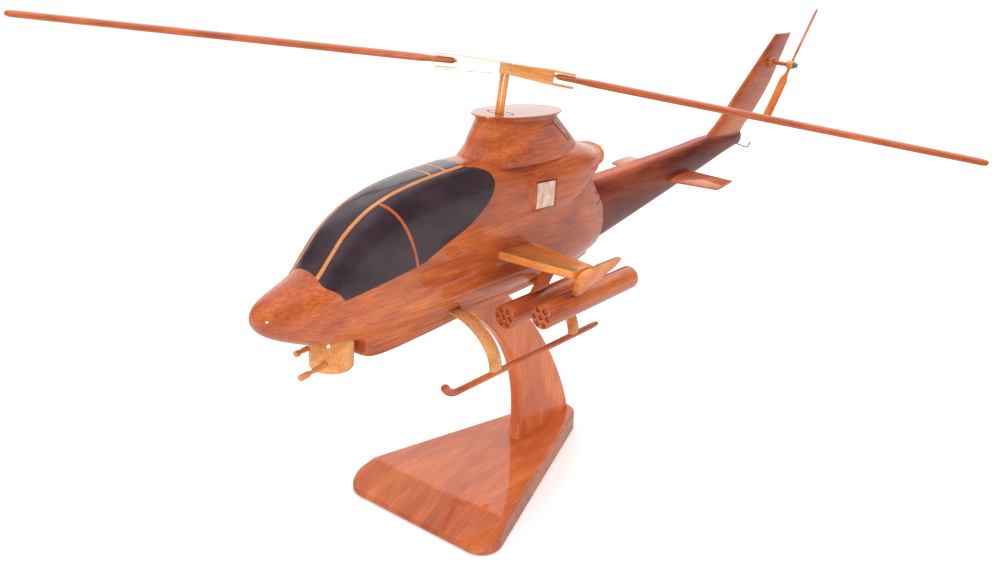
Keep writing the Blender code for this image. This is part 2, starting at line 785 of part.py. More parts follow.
TUBE_CIRCLE_RADIUS = 4.5
TUBE_RADIUS = 1.6
TUBE_DEPTH = 1.4


def rocket_pod(parent, name, location):
    """Seven-tube pod; its own axis runs aft (+Y) from the centre of its front face."""
    bm = rod((0, 0, 0), (0, POD_LENGTH, 0), POD_RADIUS, 20)
    item = add_object(name, bm, parent, MAHOGANY)
    place(item, location, (POD_SLOPE, 0, 0))
    tubes = [(0.0, 0.0)]
    for i in range(6):
        turn = math.tau * i / 6
        tubes.append((TUBE_CIRCLE_RADIUS * math.cos(turn), TUBE_CIRCLE_RADIUS * math.sin(turn)))
    cutter_bm = bmesh.new()
    for tube_x, tube_z in tubes:
        tube = rod((tube_x, -1.0, tube_z), (tube_x, TUBE_DEPTH, tube_z), TUBE_RADIUS, 10)
        scratch = bpy.data.meshes.new("tube")
        tube.to_mesh(scratch)
        tube.free()
        cutter_bm.from_mesh(scratch)
        bpy.data.meshes.remove(scratch)
    cutter = make_cutter(add_object(name + "_tubes", cutter_bm, parent, MAHOGANY))
    place(cutter, location, (POD_SLOPE, 0, 0))
    boolean(item, cutter, "DIFFERENCE")


def pods(parent):
    for side, name in ((1, "port"), (-1, "starboard")):
        for label, (x, y, z) in (("outer", OUTER_POD), ("inner", INNER_POD)):
            rocket_pod(parent, "rocket_pod_" + label + "_" + name, (side * x, y, z))


def skid_path():
    """Skid centre line from its rear end to its curled-up toe."""
    path = [(0.0, SKID_REAR_Y, 0.0), (0.0, -8.0, 0.0), (0.0, TOE_START_Y, 0.0)]
    for step in range(1, 6):
        turn = TOE_TURN * step / 5
        path.append((0.0, TOE_START_Y - TOE_RADIUS * math.sin(turn), TOE_RADIUS * (1 - math.cos(turn))))
    return path


def skids(parent, body_guide, keel_guide):
    """Skid tubes and the flattened curved legs that join them to the belly."""
    path = skid_path()
    for side, name in ((1, "port"), (-1, "starboard")):
        def section(i):
            toe = TOE_SWELLING * max(0.0, i - 2) / (len(path) - 3)
            return SKID_RADIUS + toe, SKID_RADIUS + toe

        item = add_object("skid_" + name, sweep(path, section, (1, 0, 0)), parent, MAHOGANY)
        place(item, (side * SKID_X, 0, SKID_Z), (SKID_SLOPE, 0, 0))
        for end, leg_y in (("front", LEG_FRONT_Y), ("rear", LEG_REAR_Y)):
            skid_top = SKID_Z + leg_y * math.tan(SKID_SLOPE) + SKID_RADIUS
            drop = LEG_ROOT_Z - (skid_top + GAP)
            points = []
            for step in range(9):
                share = step / 8 * math.pi / 2
                x = LEG_ROOT_X + (SKID_X - LEG_ROOT_X) * math.sin(share)
                z = LEG_ROOT_Z - drop * (1 - math.cos(share)) ** 0.9
                points.append((side * x, leg_y, z))
            bow = sweep(points, lambda i: (LEG_CHORD / 2, LEG_THICKNESS / 2), (0, 1, 0))
            leg = add_object("skid_leg_" + name + "_" + end, bow, parent, LIGHT_WOOD)
            boolean(leg, body_guide, "DIFFERENCE")
            boolean(leg, keel_guide, "DIFFERENCE")


# ---------------------------------------------------------------- turret

TURRET_Y = -128.3
TURRET_RADIUS = 11.7
TURRET_BOTTOM_Z = -117.4
TURRET_RIM = 2.6
SEAT_Z = -98.0
SEAT_CLEARANCE = 0.6
SPIGOT_RADIUS = 2.0
SPIGOT_TOP_Z = -90.0
BARREL_ROOT_Y = -10.9  # from the turret axis
BARREL_DROP = 0.14  # fall per millimetre of length
BARREL_PROFILE = [(0.0, 1.5), (0.42, 1.5), (0.60, 1.0), (0.66, 1.7), (1.0, 1.7)]  # (share, radius)


def turret_seat(frame):
    """Guide for the shallow round seat and the spigot bore under the chin."""
    profile = [
        (TURRET_RADIUS + SEAT_CLEARANCE, SEAT_Z - 27.0), (TURRET_RADIUS + SEAT_CLEARANCE, SEAT_Z),
        (SPIGOT_RADIUS + RUNNING_FIT, SEAT_Z), (SPIGOT_RADIUS + RUNNING_FIT, SPIGOT_TOP_Z + DOWEL_FIT),
    ]
    item = add_object("turret_seat", turned(profile, 24), frame, MAHOGANY)
    return make_cutter(place(item, (0, TURRET_Y, 0)))


def turret(frame):
    """Turned chin turret that swivels on its own spigot, with two barrels glued into it."""
    axis = add_empty("turret_axis", frame, (0, TURRET_Y, 0))
    profile = [
        (SPIGOT_RADIUS, SPIGOT_TOP_Z), (SPIGOT_RADIUS, SEAT_Z - GAP), (TURRET_RADIUS, SEAT_Z - GAP),
        (TURRET_RADIUS, TURRET_BOTTOM_Z + TURRET_RIM), (TURRET_RADIUS - TURRET_RIM, TURRET_BOTTOM_Z),
    ]
    add_object("chin_turret", turned(profile, 24), axis, LIGHT_WOOD)
    for name, x, z, length in (("port", 6.6, -110.9, 16.5), ("starboard", -6.6, -105.9, 7.8)):
        path = [
            (x, BARREL_ROOT_Y - length * share, z - BARREL_DROP * length * share)
            for share, _ in BARREL_PROFILE
        ]
        section = [(radius, radius) for _, radius in BARREL_PROFILE]
        add_object("gun_barrel_" + name, sweep(path, section.__getitem__, (1, 0, 0)), axis, LIGHT_WOOD)


# ---------------------------------------------------------------- main rotor


def rotor_axis(frame):
    return add_empty("main_rotor_axis", frame, (0, 0, 0), (-MAST_AFT_TILT, MAST_PORT_LEAN, 0))


def mast_and_hub(axis):
    mast = rod((0, 0, MAST_FOOT_Z), (0, 0, HUB_HEIGHT - TRUNNION_HALF_HEIGHT - GAP), MAST_RADIUS, 20)
    add_object("rotor_mast", mast, axis, LIGHT_WOOD)
    corner = (TRUNNION_HALF_LENGTH, TRUNNION_HALF_WIDTH, TRUNNION_HALF_HEIGHT)
    hub = box([-half for half in corner], corner)
    item = add_object("rotor_trunnion", hub, axis, LIGHT_WOOD)
    place(item, (0, 0, HUB_HEIGHT), (0, 0, ROTOR_REST_ANGLE))


def yoke_arm(axis, name, turn):
    """Arm that grows taller and narrower outwards; its end is a fork around the blade root."""
    inner = TRUNNION_HALF_LENGTH + GAP
    outer = inner + YOKE_LENGTH
    rings = []
    for radius, (wide, tall) in (
        (inner, YOKE_INNER_SIZE), (outer, YOKE_OUTER_SIZE), (outer + PRONG_LENGTH, YOKE_OUTER_SIZE)
    ):
        y, z = wide / 2, tall / 2
        rings.append([(radius, -y, -z), (radius, y, -z), (radius, y, z), (radius, -y, z)])
    item = add_object(name, loft(rings), axis, LIGHT_WOOD)
    place(item, (0, 0, HUB_HEIGHT), (0, BLADE_DROOP, turn))
    slot_half = YOKE_OUTER_SIZE[1] / 2 - PRONG_THICKNESS
    slot_width = 2 * YOKE_OUTER_SIZE[0]
    slot = box((outer, -slot_width / 2, -slot_half), (outer + 2 * PRONG_LENGTH, slot_width / 2, slot_half))
    socket = rod((outer - SOCKET_DEPTH, 0, 0), (outer + 2.0, 0, 0), TENON_RADIUS + DOWEL_FIT, 12)
    for suffix, bm, rise in (("_slot", slot, 0.0), ("_socket", socket, BLADE_RISE)):
        cutter = make_cutter(add_object(name + suffix, bm, axis, MAHOGANY))
        place(cutter, (0, 0, HUB_HEIGHT + rise), (0, BLADE_DROOP, turn))
        boolean(item, cutter, "DIFFERENCE")
    return outer


def blade_ring(radius, chord, thickness, count=16):
    ring = []
    for i in range(count):
        angle = math.tau * i / count
        y = chord / 2 * power(math.cos(angle), 0.8)
        ring.append((radius, y, thickness / 2 * power(math.sin(angle), 0.9)))
    return ring


def main_blade(axis, name, turn, yoke_end):
    """Slim blade with a rounded root and tip; a round tenon enters the yoke arm."""
    rings = [
        blade_ring(BLADE_ROOT_RADIUS, 5.6, 2.6),
        blade_ring(BLADE_ROOT_RADIUS + 1.0, 8.4, 3.0),
        blade_ring(BLADE_ROOT_RADIUS + 3.0, BLADE_CHORD, BLADE_ROOT_THICKNESS),
        blade_ring(BLADE_ROOT_RADIUS + 10.0, BLADE_CHORD, BLADE_ROOT_THICKNESS),
        blade_ring(BLADE_ROOT_RADIUS + 22.0, BLADE_CHORD, BLADE_THICKNESS),
        blade_ring(ROTOR_RADIUS - 30.0, BLADE_CHORD - 0.5, BLADE_THICKNESS - 0.2),
        blade_ring(ROTOR_RADIUS - 4.0, BLADE_CHORD - 0.8, BLADE_THICKNESS - 0.3),
        blade_ring(ROTOR_RADIUS - 1.0, BLADE_CHORD - 2.8, BLADE_THICKNESS - 0.6),
        blade_ring(ROTOR_RADIUS, BLADE_CHORD - 5.4, BLADE_THICKNESS - 1.2),
    ]
    item = add_object(name, loft(rings), axis, MAHOGANY)
    place(item, (0, 0, HUB_HEIGHT + BLADE_RISE), (0, BLADE_DROOP, turn))
    peg = rod((yoke_end - TENON_DEPTH, 0, 0), (BLADE_ROOT_RADIUS + 2.0, 0, 0), TENON_RADIUS, 12)
    tenon = make_cutter(add_object(name + "_tenon", peg, axis, MAHOGANY))
    place(tenon, (0, 0, HUB_HEIGHT + BLADE_RISE), (0, BLADE_DROOP, turn))
    boolean(item, tenon, "UNION")


def main_rotor(frame):
    axis = rotor_axis(frame)
    mast_and_hub(axis)
    for name, turn in (("port", ROTOR_REST_ANGLE), ("starboard", ROTOR_REST_ANGLE + math.pi)):
        yoke_end = yoke_arm(axis, "rotor_yoke_" + name, turn)
        main_blade(axis, "main_blade_" + name, turn, yoke_end)
    return axis


# ---------------------------------------------------------------- tail rotor


def tail_rotor(frame):
    """Two-blade rotor on a short shaft on the fin's port side; its axis is X."""
    axis = add_empty("tail_rotor_axis", frame, (0, TAIL_ROTOR_Y, TAIL_ROTOR_Z))
    boss_mesh = turned([(4.6, 2.5), (4.2, 4.8), (3.2, 6.0)], 16)
    boss = add_object("tail_rotor_boss", boss_mesh, frame, MAHOGANY)
    place(boss, (0, TAIL_ROTOR_Y, TAIL_ROTOR_Z), (0, math.pi / 2, 0))
    bore_mesh = rod((TAIL_SHAFT_START_X - DOWEL_FIT, 0, 0), (8.0, 0, 0), TAIL_SHAFT_RADIUS + RUNNING_FIT, 16)
    bore = make_cutter(add_object("tail_shaft_bore", bore_mesh, axis, MAHOGANY))
    boolean(boss, bore, "DIFFERENCE")
    shaft = rod((TAIL_SHAFT_START_X, 0, 0), (TAIL_HUB_X - GAP, 0, 0), TAIL_SHAFT_RADIUS, 16)
    add_object("tail_rotor_shaft", shaft, axis, MAHOGANY)
    hub_end = TAIL_HUB_X + TAIL_HUB_LENGTH
    hub = rod((TAIL_HUB_X, 0, 0), (hub_end, 0, 0), TAIL_HUB_RADIUS, 14)
    add_object("tail_rotor_hub", hub, axis, MAHOGANY)
    nut = rod((hub_end + GAP, 0, 0), (TAIL_HUB_X + TAIL_NUT_END, 0, 0), TAIL_NUT_RADIUS, 6)
    add_object("tail_rotor_nut", nut, axis, STEEL, 0.35, 1.0)
    for name, turn in (("upper", 0.0), ("lower", math.pi)):
        rings = []
        for radius, chord, thickness in (
            (TAIL_HUB_RADIUS + 2 * GAP, 2.2, 2.0), (8.0, 2.4, 2.0),
            (15.0, TAIL_BLADE_CHORD, TAIL_BLADE_THICKNESS),
            (TAIL_ROTOR_RADIUS - 1.5, TAIL_BLADE_CHORD, TAIL_BLADE_THICKNESS),
            (TAIL_ROTOR_RADIUS, TAIL_BLADE_CHORD - 1.6, TAIL_BLADE_THICKNESS - 0.5),
        ):
            ring = []
            for _, across, up in blade_ring(radius, chord, thickness, 12):
                away = across * math.sin(TAIL_BLADE_PITCH) + up * math.cos(TAIL_BLADE_PITCH)
                aft = across * math.cos(TAIL_BLADE_PITCH) - up * math.sin(TAIL_BLADE_PITCH)
                ring.append((away, aft, radius))
            rings.append(ring)
        item = add_object("tail_blade_" + name, loft(rings), axis, MAHOGANY)
        place(item, (TAIL_HUB_X + TAIL_HUB_LENGTH / 2, 0, 0), (turn - TAIL_BLADE_LEAN, 0, 0))


# ---------------------------------------------------------------- stand


def rounded_triangle():
    """Outline of the base: wide edge towards the nose, rounded corners, apex towards the tail."""
    side_angle = math.atan(BASE_SIDE_SLOPE)
    outline = []
    front = BASE_FRONT_Y + BASE_FRONT_CORNER_RADIUS
    half_at_front = BASE_FRONT_HALF_WIDTH - BASE_SIDE_SLOPE * BASE_FRONT_CORNER_RADIUS
    corner_x = half_at_front - BASE_FRONT_CORNER_RADIUS / math.cos(side_angle)
    for step in range(7):
        angle = -math.pi / 2 + (math.pi / 2 + side_angle) * step / 6
        outline.append((
            corner_x + BASE_FRONT_CORNER_RADIUS * math.cos(angle),
            front + BASE_FRONT_CORNER_RADIUS * math.sin(angle)))
    tip_y = BASE_FRONT_Y + BASE_FRONT_HALF_WIDTH / BASE_SIDE_SLOPE
    apex_y = tip_y - BASE_APEX_RADIUS / math.sin(side_angle)
    for step in range(9):
        angle = side_angle + (math.pi - 2 * side_angle) * step / 8
        outline.append((BASE_APEX_RADIUS * math.cos(angle), apex_y + BASE_APEX_RADIUS * math.sin(angle)))
    for x, y in reversed(outline[:7]):
        outline.append((-x, y))
    return outline


def dowel_hole(y, low, high, name):
    """Upright guide for a dowel's hole between two heights."""
    hole = rod((0, y, low), (0, y, high), DOWEL_RADIUS + DOWEL_FIT, 16)
    return make_cutter(add_object(name, hole, None, MAHOGANY))


def base():
    """Triangular plank whose front end slopes down to a thin edge."""
    bm = bmesh.new()
    face = bm.faces.new([bm.verts.new((x, y, 0.0)) for x, y in rounded_triangle()])
    extruded = bmesh.ops.extrude_face_region(bm, geom=[face])
    moved = [item for item in extruded["geom"] if isinstance(item, bmesh.types.BMVert)]
    bmesh.ops.translate(bm, vec=(0, 0, BASE_THICKNESS), verts=moved)
    item = add_object("base", bm, None, MAHOGANY)
    slope = (BASE_THICKNESS - BASE_FRONT_EDGE_HEIGHT) / (BASE_BEVEL_BACK_Y - BASE_FRONT_Y)
    reach = 10.0  # how far the cut runs past the front edge
    above = BASE_THICKNESS + 5.0
    wedge = bmesh.new()
    profile = [
        (BASE_BEVEL_BACK_Y, BASE_THICKNESS),
        (BASE_BEVEL_BACK_Y, above),
        (BASE_FRONT_Y - reach, above),
        (BASE_FRONT_Y - reach, BASE_FRONT_EDGE_HEIGHT - slope * reach),
    ]
    half_cut = BASE_FRONT_HALF_WIDTH + reach
    end = wedge.faces.new([wedge.verts.new((-half_cut, y, z)) for y, z in profile])
    pulled = bmesh.ops.extrude_face_region(wedge, geom=[end])
    far = [entry for entry in pulled["geom"] if isinstance(entry, bmesh.types.BMVert)]
    bmesh.ops.translate(wedge, vec=(2 * half_cut, 0, 0), verts=far)
    boolean(item, make_cutter(add_object("base_slope", wedge, None, MAHOGANY)), "DIFFERENCE")
    hole = dowel_hole(FOOT_DOWEL_Y, BASE_THICKNESS - FOOT_DOWEL_DEPTH, above, "base_dowel_hole")
    boolean(item, hole, "DIFFERENCE")


def bezier(points, share):
    a, b, c, d = (Vector(point) for point in points)
    rest = 1 - share
    return a * rest**3 + b * 3 * rest**2 * share + c * 3 * rest * share**2 + d * share**3


# Edges of the column as curves in (y, height above the base)
COLUMN_FRONT = [(17.0, 0.0), (25.0, 55.0), (4.0, 88.0), (-42.0, 118.0)]
COLUMN_REAR = [(74.5, 0.0), (64.0, 40.0), (35.0, 85.0), (-4.0, 118.0)]
COLUMN_EDGE_BEVEL = 1.8
FOOT_TRIM = 4.0  # extra length below the foot, sawn off flat


def column(guides):
    """Curved plank that rises from the rear of the base and leans forward to the belly."""
    foot = BASE_THICKNESS + GAP
    steps = 12
    front = [bezier(COLUMN_FRONT, step / steps) for step in range(steps + 1)]
    rear = [bezier(COLUMN_REAR, step / steps) for step in range(steps + 1)]
    outline = [(p.x, p.y + foot) for p in front] + [(p.x, p.y + foot) for p in reversed(rear)]
    outline = [(COLUMN_REAR[0][0], foot - FOOT_TRIM), (COLUMN_FRONT[0][0], foot - FOOT_TRIM)] + outline
    item = add_object("column", plank(outline, COLUMN_THICKNESS, COLUMN_EDGE_BEVEL), None, MAHOGANY)
    below = box((-COLUMN_THICKNESS, 0, foot - 2 * FOOT_TRIM), (COLUMN_THICKNESS, 100, foot))
    boolean(item, make_cutter(add_object("below_foot", below, None, MAHOGANY)), "DIFFERENCE")
    for guide in guides:
        boolean(item, guide, "DIFFERENCE")
    return item


def dowels():
    """Hidden dowels that pin the column into the base and into the belly."""
    for name, y, low, high in (
        ("column_foot_dowel", FOOT_DOWEL_Y, BASE_THICKNESS - FOOT_DOWEL_DEPTH + DOWEL_FIT, FOOT_DOWEL_TOP),
        ("column_head_dowel", HEAD_DOWEL_Y, HEAD_DOWEL_LOW, HEAD_DOWEL_TOP),
    ):
        add_object(name, rod((0, y, low), (0, y, high), DOWEL_RADIUS, 16), None, LIGHT_WOOD)


def main():
    clear_scene()
    frame = add_empty("helicopter_frame", None, (0, 0, FRAME_HEIGHT), (-NOSE_UP, 0, 0))
    body_guide = make_cutter(add_object("body_clearance", body_mesh(GAP), frame, MAHOGANY))
    keel_guide = make_cutter(add_object("keel_clearance", keel_mesh(GAP), frame, MAHOGANY))
    cowling_guide = make_cutter(add_object("cowling_clearance", cowling_mesh(GAP), frame, MAHOGANY))
    boom_guide = make_cutter(add_object("boom_clearance", boom_mesh(GAP), frame, MAHOGANY))

    head_hole = dowel_hole(
        HEAD_DOWEL_Y, HEAD_DOWEL_LOW - DOWEL_FIT, HEAD_DOWEL_TOP + DOWEL_FIT, "head_dowel_hole")
    foot_hole = dowel_hole(
        FOOT_DOWEL_Y, BASE_THICKNESS - 2, FOOT_DOWEL_TOP + DOWEL_FIT, "foot_dowel_hole")

    base()
    column([body_guide, keel_guide, head_hole, foot_hole])
    dowels()

    fuselage(frame, canopy_recess(frame) + intake_guides(frame) + [head_hole, turret_seat(frame)])
    canopy_parts(frame)
    intake_inserts(frame)
    fairing = pylon_fairing(frame, body_guide, cowling_guide)
    cap = pylon_cap(frame)
    add_object("tail_boom", boom_mesh(), frame, DARK_MAHOGANY)
    tail_fin(frame, boom_guide)
    stabilisers(frame, boom_guide)
    tail_skid(frame)
    wings(frame, body_guide)
    pods(frame)
    skids(frame, body_guide, keel_guide)
    turret(frame)
    tail_rotor(frame)

    axis = main_rotor(frame)
    bore_mesh = rod((0, 0, MAST_FOOT_Z - 0.5), (0, 0, 4.0), MAST_RADIUS + RUNNING_FIT, 20)
    bore = make_cutter(add_object("mast_bore", bore_mesh, axis, MAHOGANY))
    boolean(fairing, bore, "DIFFERENCE")
    boolean(cap, bore, "DIFFERENCE")


main()
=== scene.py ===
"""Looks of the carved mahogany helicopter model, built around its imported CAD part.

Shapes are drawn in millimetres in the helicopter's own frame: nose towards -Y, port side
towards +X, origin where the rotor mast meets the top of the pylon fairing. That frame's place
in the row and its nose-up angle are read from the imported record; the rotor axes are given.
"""

import json
import math

import bmesh
import bpy
from mathutils import Euler, Matrix, Vector


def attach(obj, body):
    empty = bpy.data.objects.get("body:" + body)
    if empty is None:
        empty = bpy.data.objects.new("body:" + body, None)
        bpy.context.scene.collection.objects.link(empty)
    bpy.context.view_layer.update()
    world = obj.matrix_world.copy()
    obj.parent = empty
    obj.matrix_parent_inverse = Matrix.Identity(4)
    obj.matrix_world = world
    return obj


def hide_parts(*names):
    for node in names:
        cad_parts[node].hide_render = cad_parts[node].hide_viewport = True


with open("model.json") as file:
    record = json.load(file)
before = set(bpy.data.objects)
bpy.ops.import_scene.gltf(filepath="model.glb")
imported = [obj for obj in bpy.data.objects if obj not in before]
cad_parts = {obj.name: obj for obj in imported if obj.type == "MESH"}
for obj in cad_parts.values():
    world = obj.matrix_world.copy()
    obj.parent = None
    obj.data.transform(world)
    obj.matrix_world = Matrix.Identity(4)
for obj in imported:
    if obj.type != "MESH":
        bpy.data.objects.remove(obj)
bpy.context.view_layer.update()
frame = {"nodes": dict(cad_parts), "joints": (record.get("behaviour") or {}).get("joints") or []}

MM = 0.001
AIRFRAME = "stand_and_airframe"
JOINTS = {joint["name"]: joint for joint in frame["joints"]}
SIDES = ((1, "port"), (-1, "starboard"))

# ---------------------------------------------------------------- frames taken from the record


def helicopter_frame():
    """Row-frame matrix of the helicopter frame, in metres."""
    swivel = Vector(JOINTS["turret_swivel"]["axis"])
    nose_up = math.atan2(swivel.y, swivel.z)
    origin = Vector(JOINTS["main_rotor_spin"]["pos_m"])
    return Matrix.Translation(origin) @ Matrix.Rotation(-nose_up, 4, "X")


HELICOPTER = helicopter_frame()


def mm_place(x=0.0, y=0.0, z=0.0, turn=(0.0, 0.0, 0.0)):
    """Matrix of a place in a millimetre frame."""
    return Matrix.Translation(Vector((x, y, z)) * MM) @ Euler(turn).to_matrix().to_4x4()


MAST = HELICOPTER @ mm_place(turn=(math.radians(-4.8), math.radians(2.7), 0.0))
TURRET = HELICOPTER @ mm_place(0.0, -128.3, 0.0)
TAIL_ROTOR = HELICOPTER @ mm_place(0.0, 347.3, 5.2)

# ---------------------------------------------------------------- dimensions, millimetres

BASE_THICKNESS = 14.0
BASE_FRONT_Y = -82.5
BASE_FRONT_HALF_WIDTH = 63.0
BASE_SIDE_SLOPE = 0.332
BASE_FRONT_CORNER_RADIUS = 13.0
BASE_APEX_RADIUS = 13.0
BASE_BEVEL_BACK_Y = -58.5
BASE_FRONT_EDGE_HEIGHT = 3.6
COLUMN_THICKNESS = 9.0

ROTOR_RADIUS = 280.0
MAST_RADIUS = 2.6
HUB_HEIGHT = 25.8
BLADE_RISE = 0.8
ROTOR_REST_ANGLE = math.radians(37.2)
BLADE_DROOP = math.radians(2.6)
TRUNNION_HALF_LENGTH = 3.0
YOKE_LENGTH = 24.0
YOKE_INNER_SIZE = (9.5, 6.2)
YOKE_OUTER_SIZE = (6.5, 8.6)
PRONG_LENGTH = 12.0
PRONG_THICKNESS = 1.3
BLADE_ROOT_RADIUS = 29.0
BLADE_CHORD = 10.6
BLADE_THICKNESS = 4.2
BLADE_ROOT_THICKNESS = 3.2  # between the prongs of its fork

TAIL_ROTOR_RADIUS = 54.0
TAIL_HUB_X = 17.6
TAIL_BLADE_LEAN = math.radians(39.7)
TAIL_BLADE_PITCH = math.radians(-35.0)
TAIL_BLADE_CHORD = 7.0
TAIL_BLADE_THICKNESS = 1.7

STRIP_WIDTH = 1.7
ROOF_STRIP_X = 8.8
WINDSHIELD_BASE_Y = -146.0
SILL_FRONT_Y = -135.5
SILL_SLOPE = math.tan(math.radians(8.2))
SILL_HEIGHT_AT_95 = -68.3
SIDE_STRIP_TOP_Y = -105.0
SIDE_STRIP_SILL_Y = -86.0
WINDOW_REAR = [
    (0.0, -41), (0.1, -33.5), (0.2, -28), (0.35, -23.4), (0.51, -22), (0.65, -24.6), (0.75, -29.5),
    (0.82, -36), (0.87, -42.5), (0.91, -51), (0.94, -61), (0.97, -71), (1.0, -82),
]  # rear edge of a side window: (share of the way from roof strip to sill, y)
CROSS_STRIP_YS = (-65.5, -54.5)
PANEL_GAP = 0.2
ROOF_REAR_Y = WINDOW_REAR[0][1]
WINDOW_TOP_X = ROOF_STRIP_X + STRIP_WIDTH / 2 + PANEL_GAP

POD_RADIUS = 7.1
POD_LENGTH = 90.5
POD_SLOPE = math.radians(1.67)
SKID_X = 43.7
SKID_Z = -131.7
SKID_RADIUS = 1.9
SKID_SLOPE = math.radians(1.2)
SKID_REAR_Y = 56.0
TOE_START_Y = -78.0
TOE_RADIUS = 12.0
TOE_TURN = math.radians(62)
TOE_SWELLING = 0.6
SKID_STRAIGHT_STEPS = 20
LEG_CHORD = 10.5
LEG_THICKNESS = 3.6
LEG_ROOT_X = 11.0
LEG_ROOT_Z = -104.5
WING_TIP_X = 67.5
PLATE_TILT = -0.03

# Station curves of the fuselage: (y, value), joined by smooth curves
BODY_TOP = [
    (-177.4, -79), (-176, -75), (-171, -70), (-160, -65.8), (-147, -60.8), (-137.6, -52.3),
    (-128.4, -43.2), (-119, -37), (-110, -32.6), (-89, -26.8), (-64, -23.4), (-27, -21),
    (0, -21), (40, -25), (60, -32), (84, -41), (97, -54),
]
BODY_HALF_WIDTH = [
    (-177.4, 1.5), (-176, 6), (-171, 9.6), (-160, 13.2), (-146, 16.4), (-128, 18.6), (-100, 19.8),
    (-40, 20), (40, 20), (75, 18.2), (97, 15.4),
]
BODY_WIDE_Z = [(-177.4, -80), (-160, -80.5), (-120, -80), (0, -78), (97, -78)]
BODY_BOTTOM = [
    (-177.4, -81), (-176, -84.5), (-171, -88.8), (-160, -94.2), (-143, -100.2), (-128, -103.4),
    (-112, -104.6), (-50, -104.5), (40, -104.5), (97, -101),
]
BODY_UPPER_POWER = [
    (-177.4, 2.0), (-150, 2.1), (-134, 2.8), (-110, 3.3), (-40, 3.4), (0, 3.6), (60, 3.0), (97, 2.0),
]
BODY_LOWER_POWER = [(-177.4, 2.0), (-120, 2.4), (-60, 3.4), (40, 3.4), (97, 2.0)]

COWLING_TOP = [
    (2, -29), (12, -24.5), (28, -21), (46, -20.5), (62, -22), (76, -24.5), (87, -27.2), (92, -29),
    (96, -27.8), (99, -30), (101, -34),
]
COWLING_HALF_WIDTH = [
    (2, 15.7), (12, 21.3), (28, 23.3), (46, 23.7), (64, 22), (80, 18), (91, 13.2), (95, 12.6), (101, 6),
]
COWLING_BOTTOM = [(2, -53), (12, -57), (30, -59.5), (48, -57), (64, -50), (78, -44), (91, -41), (101, -38)]

KEEL_BOTTOM = [
    (-113.5, -113.5), (-107, -116), (-98, -116.5), (-70, -114.8), (-30, -111.6), (20, -109.5),
    (70, -106), (92, -102),
]
KEEL_HALF_WIDTH = [(-113.5, 10.5), (-100, 11), (-30, 12), (60, 11), (92, 8)]

BOOM_TOP = [(97, -53), (163, -50), (218, -47), (258, -44.5), (313, -47)]
BOOM_BOTTOM = [(97, -98), (163, -85.5), (251, -68), (296, -59), (313, -57)]
BOOM_HALF_WIDTH = [(97, 13), (163, 10.4), (251, 7.4), (296, 5), (313, 2.6)]

FIN_SECTIONS = [
    (-52.0, 250.0, 312.5, 6.4),
    (-44.0, 259.0, 319.0, 6.2),
    (-37.6, 270.0, 328.5, 6.0),
    (-14.3, 301.0, 355.4, 5.0),
    (7.0, 329.5, 371.0, 4.2),
    (26.5, 355.5, 385.0, 3.4),
]

# ---------------------------------------------------------------- drawing tools


def smooth(curve, y):
    """Value at y of the smooth curve through the given (y, value) points."""
    if y <= curve[0][0]:
        return curve[0][1]
    if y >= curve[-1][0]:
        return curve[-1][1]
    index = max(i for i in range(len(curve) - 1) if curve[i][0] <= y)
    y0, v0 = curve[index]
    y1, v1 = curve[index + 1]
    step = y1 - y0

    def slope(i):
        if i == 0 or i == len(curve) - 1:
            return (v1 - v0) / step
        before = (curve[i][1] - curve[i - 1][1]) / (curve[i][0] - curve[i - 1][0])
        after = (curve[i + 1][1] - curve[i][1]) / (curve[i + 1][0] - curve[i][0])
        return 0.0 if before * after <= 0 else 2 * before * after / (before + after)

    t = (y - y0) / step
    m0 = slope(index) * step
    m1 = slope(index + 1) * step
    return (
        (2 * t**3 - 3 * t**2 + 1) * v0
        + (t**3 - 2 * t**2 + t) * m0
        + (3 * t**2 - 2 * t**3) * v1
        + (t**3 - t**2) * m1
    )


def power(value, exponent):
    """Signed power, for superellipses."""
    return math.copysign(abs(value) ** exponent, value)


def spread(low, high, count):
    return [low + (high - low) * i / count for i in range(count + 1)]


def loft(rings, closed=False):
    """Solid through rings of equal point counts, capped at its ends or joined into a closed loop."""
    bm = bmesh.new()
    rows = [[bm.verts.new(point) for point in ring] for ring in rings]
    count = len(rows[0])
    for low, high in zip(rows, rows[1:] + rows[:1] if closed else rows[1:]):
        for i in range(count):
            j = (i + 1) % count
            bm.faces.new((low[i], low[j], high[j], high[i]))
    if not closed:
        bm.faces.new(rows[0])
        bm.faces.new(rows[-1])
    return bm


def prism(outline, shift):
    """Solid made by pulling a flat outline along a vector."""
    bm = bmesh.new()
    face = bm.faces.new([bm.verts.new(point) for point in outline])
    pulled = bmesh.ops.extrude_face_region(bm, geom=[face])
    far = [item for item in pulled["geom"] if isinstance(item, bmesh.types.BMVert)]
    bmesh.ops.translate(bm, vec=shift, verts=far)
    return bm


def rotated(bm, angle, axis):
    bmesh.ops.rotate(bm, cent=(0, 0, 0), matrix=Matrix.Rotation(angle, 3, axis), verts=bm.verts)
    return bm


def along_x(bm):
    """A shape drawn about Z, turned to lie along X."""
    return rotated(bm, math.pi / 2, "Y")


def mirrored(bm, side):
    if side < 0:
        bmesh.ops.scale(bm, vec=(-1, 1, 1), verts=bm.verts)
    return bm


def mesh_object(name, bm, material, place):
    """Object from a bmesh drawn in millimetres, smooth-shaded with its hard edges kept."""
    bmesh.ops.scale(bm, vec=(MM, MM, MM), verts=bm.verts)
    bmesh.ops.recalc_face_normals(bm, faces=bm.faces)
    mesh = bpy.data.meshes.new(name)
    bm.to_mesh(mesh)
    bm.free()
    item = bpy.data.objects.new(name, mesh)
    bpy.context.scene.collection.objects.link(item)
    item.matrix_world = place
    mesh.materials.append(material)
    mesh.shade_smooth()
    return item


